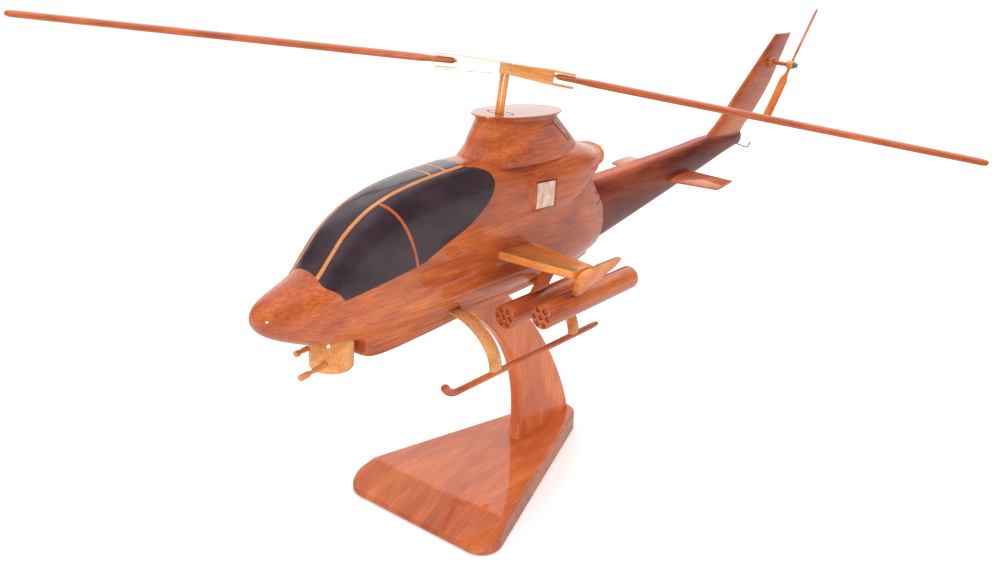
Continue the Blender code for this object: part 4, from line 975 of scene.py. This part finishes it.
def tail():
    piece("boom_cone", boom_mesh(), BOOM_WOOD, "tail_boom", 0.5)
    curves = [[(section[0], section[i]) for section in FIN_SECTIONS] for i in (1, 2, 3)]
    rings = []
    for z in spread(FIN_SECTIONS[0][0], FIN_SECTIONS[-1][0], 40):
        front, rear, thickness = [smooth(curve, z) for curve in curves]
        rings.append(airfoil_ring(front, rear, thickness, lambda along, across: (across, along, z)))
    piece("fin_blade", loft(rings), FIN_WOOD, "tail_fin", bevel=0.7)
    for side, name, tip_z in ((1, "port", -67.5), (-1, "starboard", -65.5)):
        rings = []
        for share in spread(0.0, 1.0, 12):
            x = 5.0 + 39.0 * share
            front = 190.0 + 6.0 * share
            rear = 223.0 - share
            z = STABILISER_ROOT_Z + (tip_z - STABILISER_ROOT_Z) * share
            rings.append(airfoil_ring(
                front, rear, 3.4 - share,
                lambda along, across: (side * x, along, z + 0.09 * (along - front) + across)))
        piece("stabiliser_blade_" + name, loft(rings), MAHOGANY, "stabiliser_" + name, bevel=0.6)
    wire = sweep([(0, y, z) for y, z in SKID_WIRE_PATH], lambda i: (0.55, 0.55), (1, 0, 0), 16)
    piece("skid_wire", wire, STEEL, "tail_skid_wire")


# ---------------------------------------------------------------- wings, pods, skids

END_PLATE_OUTLINE = [
    (-10.6, -77.5), (-6.0, -74.8), (8.0, -73.4), (27.5, -73.4), (27.8, -75.0),
    (24.0, -79.0), (16.0, -82.2), (6.0, -85.6), (-3.0, -90.2), (-7.6, -90.2), (-9.8, -84.0),
]
INNER_PYLON_OUTLINE = [(3.0, -79.4), (15.5, -79.4), (1.5, -94.5), (-11.5, -94.9)]


END_PLATE_THICKNESS = 4.0
END_PLATE_LEAN = 0.34
INNER_POD_X = 39.8
POD_FRONTS = (("outer", 62.0, -32.0, -97.9), ("inner", INNER_POD_X, -35.8, -103.2))
TUBE_CIRCLE = 4.4  # radius of the ring of six rocket tubes


def wings():
    for side, name in SIDES:
        rings = []
        for share in spread(0.0, 1.0, 12):
            x = 18.5 + (WING_TIP_X - 18.5) * share
            z = -76.0 - share
            rings.append(airfoil_ring(
                -18.6 + 5.1 * share, 17.0 - 7.0 * share, 5.4 - 0.8 * share,
                lambda along, across: (side * x, along, z + across), 0.45, 0.35))
        piece("wing_" + name, loft(rings), WING_WOOD, "stub_wing_" + name, bevel=0.5)
        plate = plank(END_PLATE_OUTLINE, END_PLATE_THICKNESS)
        for vert in plate.verts:
            vert.co.x += 71.2 + END_PLATE_LEAN * (vert.co.z + 76.0)
        piece("end_plate_" + name, mirrored(plate, side), WING_WOOD, "wing_end_plate_" + name, bevel=1.3)
        post = plank(INNER_PYLON_OUTLINE, 3.4)
        bmesh.ops.translate(post, vec=(INNER_POD_X, 0, 0), verts=post.verts)
        piece("inner_post_" + name, mirrored(post, side), MAHOGANY, "inner_pylon_" + name, bevel=0.8)


def pod_mesh():
    """Round pod with a softened front rim and a domed rear end, drawn about Z and laid along Y."""
    radius = POD_RADIUS
    rim = 1.0
    dome = 2.0
    front = [
        (radius - rim + rim * math.sin(turn), rim - rim * math.cos(turn))
        for turn in spread(0.0, math.pi / 2, 5)
    ]
    rear = [
        (radius - dome + dome * math.cos(turn), POD_LENGTH - dome + dome * math.sin(turn))
        for turn in spread(0.0, math.pi / 2, 6)
    ]
    middle = [(radius, z) for z in spread(12.0, POD_LENGTH - 12.0, 6)]
    return rotated(turned(front + middle + rear), -math.pi / 2, "X")


def tube_cutter():
    """Seven tapered cutters for the rocket tubes: one in the middle and six around it."""
    bm = bmesh.new()
    laid = Matrix.Rotation(-math.pi / 2, 4, "X")
    turns = spread(0.0, math.tau, 6)[:-1]
    around = [(TUBE_CIRCLE * math.cos(turn), 0, TUBE_CIRCLE * math.sin(turn)) for turn in turns]
    for centre in [(0, 0, 0), *around]:
        bmesh.ops.create_cone(
            bm, cap_ends=True, segments=28, radius1=1.7, radius2=1.5, depth=2.8,
            matrix=Matrix.Translation(centre) @ laid)
    return bm


def pods():
    for side, name in SIDES:
        for label, x, front_y, front_z in POD_FRONTS:
            place = HELICOPTER @ mm_place(side * x, front_y, front_z, (POD_SLOPE, 0.0, 0.0))
            item = mesh_object("pod_" + label + "_" + name, pod_mesh(), POD_WOOD, place)
            cut(item, tube_cutter(), place)
            settle(item, "rocket_pod_" + label + "_" + name, sharp_from=40)


def skid_path():
    """Skid centre line from its rear end to its curled-up toe."""
    path = [(0.0, y, 0.0) for y in spread(SKID_REAR_Y, TOE_START_Y, SKID_STRAIGHT_STEPS)]
    for turn in spread(0.0, TOE_TURN, 12)[1:]:
        path.append((0.0, TOE_START_Y - TOE_RADIUS * math.sin(turn), TOE_RADIUS * (1 - math.cos(turn))))
    return path


def skids():
    path = skid_path()

    def skid_section(i):
        """Round rod with eased ends that thickens towards the toe."""
        toe = max(0.0, (i - SKID_STRAIGHT_STEPS) / (len(path) - 1 - SKID_STRAIGHT_STEPS))
        radius = SKID_RADIUS + TOE_SWELLING * toe
        radius -= 0.5 if i in (0, len(path) - 1) else 0.0
        return radius, radius

    for side, name in SIDES:
        place = HELICOPTER @ mm_place(side * SKID_X, 0.0, SKID_Z, (SKID_SLOPE, 0.0, 0.0))
        rod = sweep(path, skid_section, (1, 0, 0))
        piece("skid_rod_" + name, rod, SKID_WOOD, "skid_" + name, bevel=0.4, place=place)
        # The front legs take the paler copy of the wood, painted flash light; the rear legs keep the plainer
        # orange.
        for end, leg_y, wood in (("front", -45.5, FLASH_LIT_LEG_WOOD), ("rear", 29.9, REAR_LEG_WOOD)):
            skid_top = SKID_Z + leg_y * math.tan(SKID_SLOPE) + SKID_RADIUS
            drop = LEG_ROOT_Z - skid_top + 0.6
            points = []
            for turn in spread(0.0, math.pi / 2, 32):
                x = LEG_ROOT_X + (SKID_X - LEG_ROOT_X) * math.sin(turn)
                points.append((side * x, leg_y, LEG_ROOT_Z - drop * (1 - math.cos(turn)) ** 0.9))
            leg = sweep(points, lambda i: (LEG_CHORD / 2, LEG_THICKNESS / 2), (0, 1, 0), 32)
            piece("leg_" + name + "_" + end, leg, wood, "skid_leg_" + name + "_" + end)


# ---------------------------------------------------------------- turret


TURRET_RADIUS = 11.7
TURRET_TOP_Z = -98.35
TURRET_BOTTOM_Z = -117.4
TURRET_RIM = 2.6
BARREL_PROFILE = [  # (share of its length, radius): rod, neck, muzzle
    (0.0, 1.5), (0.3, 1.5), (0.42, 1.45), (0.52, 1.05), (0.60, 1.0), (0.66, 1.6), (0.70, 1.7),
    (0.97, 1.7), (1.0, 1.4),
]
BARRELS = (("port", 6.6, -110.9, 16.5), ("starboard", -6.6, -105.9, 7.8))  # x, z, length


def turret():
    """Turned drum with a rounded lower rim, and its two barrels with necks and muzzles."""
    radius = TURRET_RADIUS
    rim = [
        (radius - TURRET_RIM * (1 - math.cos(turn)), TURRET_BOTTOM_Z + TURRET_RIM * (1 - math.sin(turn)))
        for turn in spread(0.0, math.pi / 2, 8)
    ]
    spigot = [(2.0, -90.0), (2.0, TURRET_TOP_Z)]
    side = [(radius - 0.3, TURRET_TOP_Z), (radius, TURRET_TOP_Z - 0.35), (radius, -110.0)]
    drum = turned([*spigot, *side, *rim], 96)
    piece("turret_drum", drum, TURRET_WOOD, "chin_turret", 0.0, "gun_turret", TURRET)
    for name, x, z, length in BARRELS:
        path = [(x, -10.2 - (length + 0.7) * share, z - 0.14 * length * share) for share, _ in BARREL_PROFILE]
        radii = [(radius, radius) for _, radius in BARREL_PROFILE]
        barrel = sweep(path, radii.__getitem__, (1, 0, 0), 32)
        node = "gun_barrel_" + name
        piece("barrel_" + name, barrel, BARREL_WOOD, node, 0.0, "gun_turret", TURRET)


# ---------------------------------------------------------------- main rotor


def blade_ring(radius, chord, thickness, count=28):
    ring = []
    for i in range(count):
        angle = math.tau * i / count
        y = chord / 2 * power(math.cos(angle), 0.8)
        ring.append((radius, y, thickness / 2 * power(math.sin(angle), 0.9)))
    return ring


BLADE_TAPER = 0.8  # how much narrower the blade is at its tip
BLADE_THINNING = 0.3
BLADE_THICKNESS_CURVE = [
    (0.0, BLADE_ROOT_THICKNESS), (0.04, BLADE_ROOT_THICKNESS),
    (0.09, BLADE_THICKNESS), (1.0, BLADE_THICKNESS),
]


def main_blade_mesh():
    """Slim blade with a rounded root and tip."""
    root = BLADE_ROOT_RADIUS
    span = ROTOR_RADIUS - root
    rings = []
    for share in spread(0.0, 1.0, 8):
        width = math.sqrt(1 - (1 - share) ** 2)
        chord = BLADE_CHORD * (0.45 + 0.55 * width)
        rings.append(blade_ring(root + 3.4 * share, chord, BLADE_ROOT_THICKNESS * (0.7 + 0.3 * width)))
    for share in spread(0.03, 0.98, 40):
        thickness = smooth(BLADE_THICKNESS_CURVE, share) - BLADE_THINNING * share
        rings.append(blade_ring(root + span * share, BLADE_CHORD - BLADE_TAPER * share, thickness))
    for share in spread(0.0, 1.0, 8)[1:]:
        width = math.sqrt(1 - share**2 * 0.92)
        thickness = (BLADE_THICKNESS - BLADE_THINNING) * (0.4 + 0.6 * width)
        radius = ROTOR_RADIUS - span * 0.02 * (1 - share)
        rings.append(blade_ring(radius, (BLADE_CHORD - BLADE_TAPER) * width, thickness))
    return loft(rings)


def main_rotor():
    """Mast, hub block, and on each side a forked arm, a blade and the peg that joins them."""
    mast = turned([(MAST_RADIUS, -13.5), (MAST_RADIUS, HUB_HEIGHT - 3.2)], 48)
    piece("mast_rod", mast, MAST_WOOD, "rotor_mast", 0.0, "main_rotor", MAST)
    half = TRUNNION_HALF_LENGTH + 0.15
    hub = box((-half, -5.4, -3.2), (half, 5.4, 3.2))
    hub_place = MAST @ mm_place(z=HUB_HEIGHT, turn=(0.0, 0.0, ROTOR_REST_ANGLE))
    piece("hub_block", hub, ARM_WOOD, "rotor_trunnion", 0.5, "main_rotor", hub_place)
    inner = TRUNNION_HALF_LENGTH + 0.2
    outer = inner + YOKE_LENGTH
    for name, turn in (("port", ROTOR_REST_ANGLE), ("starboard", ROTOR_REST_ANGLE + math.pi)):
        rings = []
        for radius in spread(inner, outer, 12) + [outer + PRONG_LENGTH]:
            share = min(1.0, (radius - inner) / YOKE_LENGTH)
            y, z = [(a + (b - a) * share) / 2 for a, b in zip(YOKE_INNER_SIZE, YOKE_OUTER_SIZE)]
            rings.append([(radius, -y, -z), (radius, y, -z), (radius, y, z), (radius, -y, z)])
        place = MAST @ mm_place(z=HUB_HEIGHT, turn=(0.0, BLADE_DROOP, turn))
        arm = mesh_object("arm_" + name, loft(rings), ARM_WOOD, place)
        slot_half = YOKE_OUTER_SIZE[1] / 2 - PRONG_THICKNESS
        cut(arm, box((outer, -9.0, -slot_half), (outer + 2 * PRONG_LENGTH, 9.0, slot_half)), place)
        add_bevel(arm, 0.4)
        settle(arm, "rotor_yoke_" + name, "main_rotor")
        place = MAST @ mm_place(z=HUB_HEIGHT + BLADE_RISE, turn=(0.0, BLADE_DROOP, turn))
        blade = main_blade_mesh()
        piece("blade_" + name, blade, BLADE_WOOD, "main_blade_" + name, 0.0, "main_rotor", place)
        peg = along_x(turned([(0.8, outer - 5.0), (0.8, BLADE_ROOT_RADIUS + 2.0)], 20))
        piece("blade_peg_" + name, peg, ARM_WOOD, None, 0.0, "main_rotor", place)


# ---------------------------------------------------------------- tail rotor


TAIL_BLADE_CHORDS = [
    (3.6, 2.3), (8.0, 2.6), (11.0, 4.4), (15.0, TAIL_BLADE_CHORD), (40.0, TAIL_BLADE_CHORD),
]


def tail_blade_mesh():
    """Small flat blade with a thin neck, drawn along Z and pitched about it."""
    sine = math.sin(TAIL_BLADE_PITCH)
    cosine = math.cos(TAIL_BLADE_PITCH)
    rings = []
    for radius in spread(3.6, TAIL_ROTOR_RADIUS, 40):
        end = max(0.0, (radius - (TAIL_ROTOR_RADIUS - 3.0)) / 3.0)
        chord = smooth(TAIL_BLADE_CHORDS, radius) * math.sqrt(1 - 0.8 * end**2)
        ring = blade_ring(radius, chord, TAIL_BLADE_THICKNESS * (1 - 0.4 * end), 24)
        rings.append([(y * sine + z * cosine, y * cosine - z * sine, radius) for _, y, z in ring])
    return loft(rings)


def tail_rotor():
    """Boss on the fin, and the shaft, hub, nut and two blades that turn in it."""
    hub_end = TAIL_HUB_X + 5.2
    turned_pieces = (
        ("tail_boss", "tail_rotor_boss", MAHOGANY, AIRFRAME, 48,
         [(4.6, 2.2), (4.5, 3.2), (4.2, 4.6), (3.5, 5.7), (3.0, 6.0)]),
        ("tail_shaft", "tail_rotor_shaft", MAHOGANY, "tail_rotor", 32, [(1.6, 3.5), (1.6, TAIL_HUB_X)]),
        ("tail_hub", "tail_rotor_hub", TURRET_WOOD, "tail_rotor", 40,
         [(2.9, TAIL_HUB_X), (3.2, TAIL_HUB_X + 0.4), (3.2, hub_end - 0.4), (2.9, hub_end)]),
    )
    for name, node, wood, body, sides, profile in turned_pieces:
        piece(name, along_x(turned(profile, sides)), wood, node, body=body, place=TAIL_ROTOR)
    nut = along_x(turned([(2.2, hub_end + 0.2), (2.2, hub_end + 2.4), (1.8, hub_end + 2.8)], 6))
    piece("tail_nut", nut, STEEL, "tail_rotor_nut", 0.2, "tail_rotor", TAIL_ROTOR)
    for name, turn in (("upper", 0.0), ("lower", math.pi)):
        place = TAIL_ROTOR @ mm_place(TAIL_HUB_X + 2.6, 0.0, 0.0, (turn - TAIL_BLADE_LEAN, 0.0, 0.0))
        node = "tail_blade_" + name
        piece("tail_vane_" + name, tail_blade_mesh(), TAIL_BLADE_WOOD, node, body="tail_rotor", place=place)


# ---------------------------------------------------------------- stand


EDGE_ROUNDING = 1.6
ROW = Matrix.Identity(4)


def rounded_triangle():
    """Outline of the base: wide edge towards the nose, rounded corners, apex towards the tail."""
    side_angle = math.atan(BASE_SIDE_SLOPE)
    corner = BASE_FRONT_CORNER_RADIUS
    corner_x = BASE_FRONT_HALF_WIDTH - BASE_SIDE_SLOPE * corner - corner / math.cos(side_angle)
    port_corner = [
        (corner_x + corner * math.cos(angle), BASE_FRONT_Y + corner + corner * math.sin(angle))
        for angle in spread(-math.pi / 2, side_angle, 16)
    ]
    tip_y = BASE_FRONT_Y + BASE_FRONT_HALF_WIDTH / BASE_SIDE_SLOPE
    apex_y = tip_y - BASE_APEX_RADIUS / math.sin(side_angle)
    apex = [
        (BASE_APEX_RADIUS * math.cos(angle), apex_y + BASE_APEX_RADIUS * math.sin(angle))
        for angle in spread(side_angle, math.pi - side_angle, 28)
    ]
    return port_corner + apex + [(-x, y) for x, y in reversed(port_corner)]


def stand():
    """Base plank with its sloping front face, and the column on it."""
    bm = prism([(x, y, 0.0) for x, y in rounded_triangle()], (0, 0, BASE_THICKNESS))
    item = mesh_object("stand_base", bm, BASE_WOOD, ROW)
    slope = (BASE_THICKNESS - BASE_FRONT_EDGE_HEIGHT) / (BASE_BEVEL_BACK_Y - BASE_FRONT_Y)
    reach = 10.0
    front = BASE_FRONT_Y - reach
    top = BASE_THICKNESS + 5.0
    profile = [
        (BASE_BEVEL_BACK_Y, BASE_THICKNESS), (BASE_BEVEL_BACK_Y, top),
        (front, top), (front, BASE_FRONT_EDGE_HEIGHT - reach * slope),
    ]
    cut(item, prism([(-80, y, z) for y, z in profile], (160, 0, 0)), ROW)
    add_bevel(item, EDGE_ROUNDING, 5, 20)
    settle(item, "base")
    column()


def bezier(points, share):
    a, b, c, d = (Vector(point) for point in points)
    rest = 1 - share
    return a * rest**3 + b * 3 * rest**2 * share + c * 3 * rest * share**2 + d * share**3


COLUMN_FRONT = [(17.0, 0.0), (25.0, 55.0), (4.0, 88.0), (-42.0, 118.0)]
COLUMN_REAR = [(74.5, 0.0), (64.0, 40.0), (35.0, 85.0), (-4.0, 118.0)]


def rounded_bar(length, half, front_radius, rear_radius):
    """Outline (along, across) of a flat bar with rounded front and rear edges."""
    outline = []
    for along, across, radius, start in (
        (front_radius, half - front_radius, front_radius, math.pi),
        (length - rear_radius, half - rear_radius, rear_radius, math.pi / 2),
        (length - rear_radius, rear_radius - half, rear_radius, 0.0),
        (front_radius, front_radius - half, front_radius, -math.pi / 2),
    ):
        for turn in spread(start, start - math.pi / 2, 8):
            outline.append((along + radius * math.cos(turn), across + radius * math.sin(turn)))
    return outline


def column():
    """Curved plank with a well-rounded front edge; its top runs into the belly."""
    rings = []
    for share in spread(0.0, 1.0, 60):
        front = bezier(COLUMN_FRONT, share)
        across = bezier(COLUMN_REAR, share) - front
        length = across.length
        across.normalize()
        ring = []
        for along, side in rounded_bar(length, COLUMN_THICKNESS / 2, 2.6, 1.4):
            point = front + across * along
            ring.append((side, point.x, point.y + BASE_THICKNESS))
        rings.append(ring)
    piece("stand_column", loft(rings), COLUMN_WOOD, "column", place=ROW)


# ---------------------------------------------------------------- studio

CAMERA_PLACE = (0.3680, -0.4587, 0.3823)
CAMERA_AZIMUTH = math.radians(38.76)
CAMERA_PITCH = math.radians(25.18)
CAMERA_ROLL = math.radians(0.45)
CAMERA_LENS = 38.0
CAMERA_SHIFT = (-0.0012, 0.0368)


def camera():
    """Camera at the photograph's viewing angle."""
    data = bpy.data.cameras.new("camera")
    data.lens = CAMERA_LENS
    data.shift_x, data.shift_y = CAMERA_SHIFT
    item = bpy.data.objects.new("camera", data)
    bpy.context.scene.collection.objects.link(item)
    turn = Matrix.Rotation(CAMERA_AZIMUTH, 4, "Z") @ Matrix.Rotation(math.pi / 2 - CAMERA_PITCH, 4, "X")
    item.matrix_world = Matrix.Translation(CAMERA_PLACE) @ turn @ Matrix.Rotation(CAMERA_ROLL, 4, "Z")
    bpy.context.scene.camera = item


def area_light(name, place, target, size, energy, seen_in_gloss):
    data = bpy.data.lights.new(name, "AREA")
    data.shape = "ELLIPSE" if seen_in_gloss else "RECTANGLE"
    data.size, data.size_y = size
    data.energy = energy
    item = bpy.data.objects.new(name, data)
    bpy.context.scene.collection.objects.link(item)
    item.location = place
    item.rotation_euler = (Vector(target) - Vector(place)).to_track_quat("-Z", "Y").to_euler()
    item.visible_glossy = seen_in_gloss


FLOOR_DIMMING = 0.40  # how much darker the lacquer mirrors the floor than the camera sees it
FLOOR_OVEREXPOSURE = 0.16  # what the camera sees on top, as the photo's background is burnt out


def floor():
    """Plain pale sheet with a faint paper unevenness."""
    nodes = Nodes(bpy.data.materials.new("pale_floor"))
    cloud = stretched_noise(nodes, grain_coordinates(nodes), 0.004, 0.004, 2.0)
    color = nodes.ramp(cloud, [(0.3, 0.90), (0.7, 0.93)])
    rays = nodes.add("LightPath").outputs
    mirrored_dim = nodes.maths("MULTIPLY", rays["Is Glossy Ray"], FLOOR_DIMMING)
    material = nodes.surface({
        "Base Color": nodes.mix("MIX", mirrored_dim, color, (0.0, 0.0, 0.0)),
        "Emission Color": (1.0, 1.0, 1.0),
        "Emission Strength": nodes.maths("MULTIPLY", rays["Is Camera Ray"], FLOOR_OVEREXPOSURE),
        "Roughness": 0.9,
        "Specular IOR Level": 0.1,
    })
    bm = bmesh.new()
    bmesh.ops.create_grid(bm, x_segments=1, y_segments=1, size=6000.0)
    mesh_object("floor", bm, material, Matrix.Translation((0.0, 0.0, -0.0002)))


WORLD_DIFFUSE = 0.92
ROOM_DARK = 0.10  # brightness of the room as the lacquer mirrors it, away from wall and ceiling
CEILING_GLOW = 0.75
BACK_WALL_GLOW = 1.15


def room_world():
    """White to the camera and as fill light; the gloss mirrors a dim room with a bright back wall."""
    nodes = Nodes(bpy.data.worlds.new("room"))
    direction = nodes.add("TexCoord").outputs["Generated"]

    def glow(centre, start, full, strength):
        """Soft bright patch round a direction, from the cosines where it starts and is full."""
        dot = nodes.add("VectorMath", {0: direction, 1: centre}, operation="DOT_PRODUCT")
        inputs = {"Value": dot.outputs["Value"], "From Min": start, "From Max": full}
        fade = nodes.add("MapRange", inputs, interpolation_type="SMOOTHSTEP")
        return nodes.maths("MULTIPLY", fade.outputs["Result"], strength)

    rays = nodes.add("LightPath").outputs
    glossy = rays["Is Glossy Ray"]
    seen = rays["Is Camera Ray"]
    back = (-math.sin(CAMERA_AZIMUTH) * 0.93, math.cos(CAMERA_AZIMUTH) * 0.93, 0.37)
    wall = glow(back, 0.55, 0.82, BACK_WALL_GLOW)
    ceiling = glow((0.0, 0.0, 1.0), 0.55, 0.85, CEILING_GLOW)
    mirrored_room = nodes.maths("ADD", nodes.maths("MAXIMUM", wall, ceiling), ROOM_DARK)
    fill = nodes.maths("SUBTRACT", nodes.maths("SUBTRACT", 1.0, glossy), seen)
    fill_share = nodes.maths("ADD", nodes.maths("MULTIPLY", fill, WORLD_DIFFUSE), seen)
    background = nodes.tree.nodes["Background"].inputs
    strength = nodes.maths("ADD", nodes.maths("MULTIPLY", glossy, mirrored_room), fill_share)
    nodes.feed(background["Strength"], strength)
    nodes.feed(background["Color"], (1.0, 0.98, 0.975))
    bpy.context.scene.world = nodes.owner


def studio():
    camera()
    floor()
    area_light("overhead", (0.1, 0.25, 1.5), (0.0, 0.05, 0.2), (1.5, 1.5), 13.0, False)
    area_light("front_left", (-0.9, -1.4, 1.0), (0.0, 0.0, 0.2), (0.7, 1.1), 4.5, False)
    area_light("flash", (0.33, -0.62, 0.28), (0.0, 0.0, 0.2), (0.14, 0.10), 1.2, True)
    room_world()
    bpy.context.scene.view_settings.view_transform = "Standard"


def keep_hidden_dowels():
    """The dowels inside the stand and belly keep their CAD shape and take the light wood."""
    for name in ("column_foot_dowel", "column_head_dowel"):
        node = frame["nodes"][name]
        for slot in node.material_slots:
            slot.material = TURRET_WOOD


fuselage()
intake_inserts()
canopy()
pylon()
tail()
wings()
pods()
skids()
turret()
main_rotor()
tail_rotor()
stand()
keep_hidden_dowels()
studio()
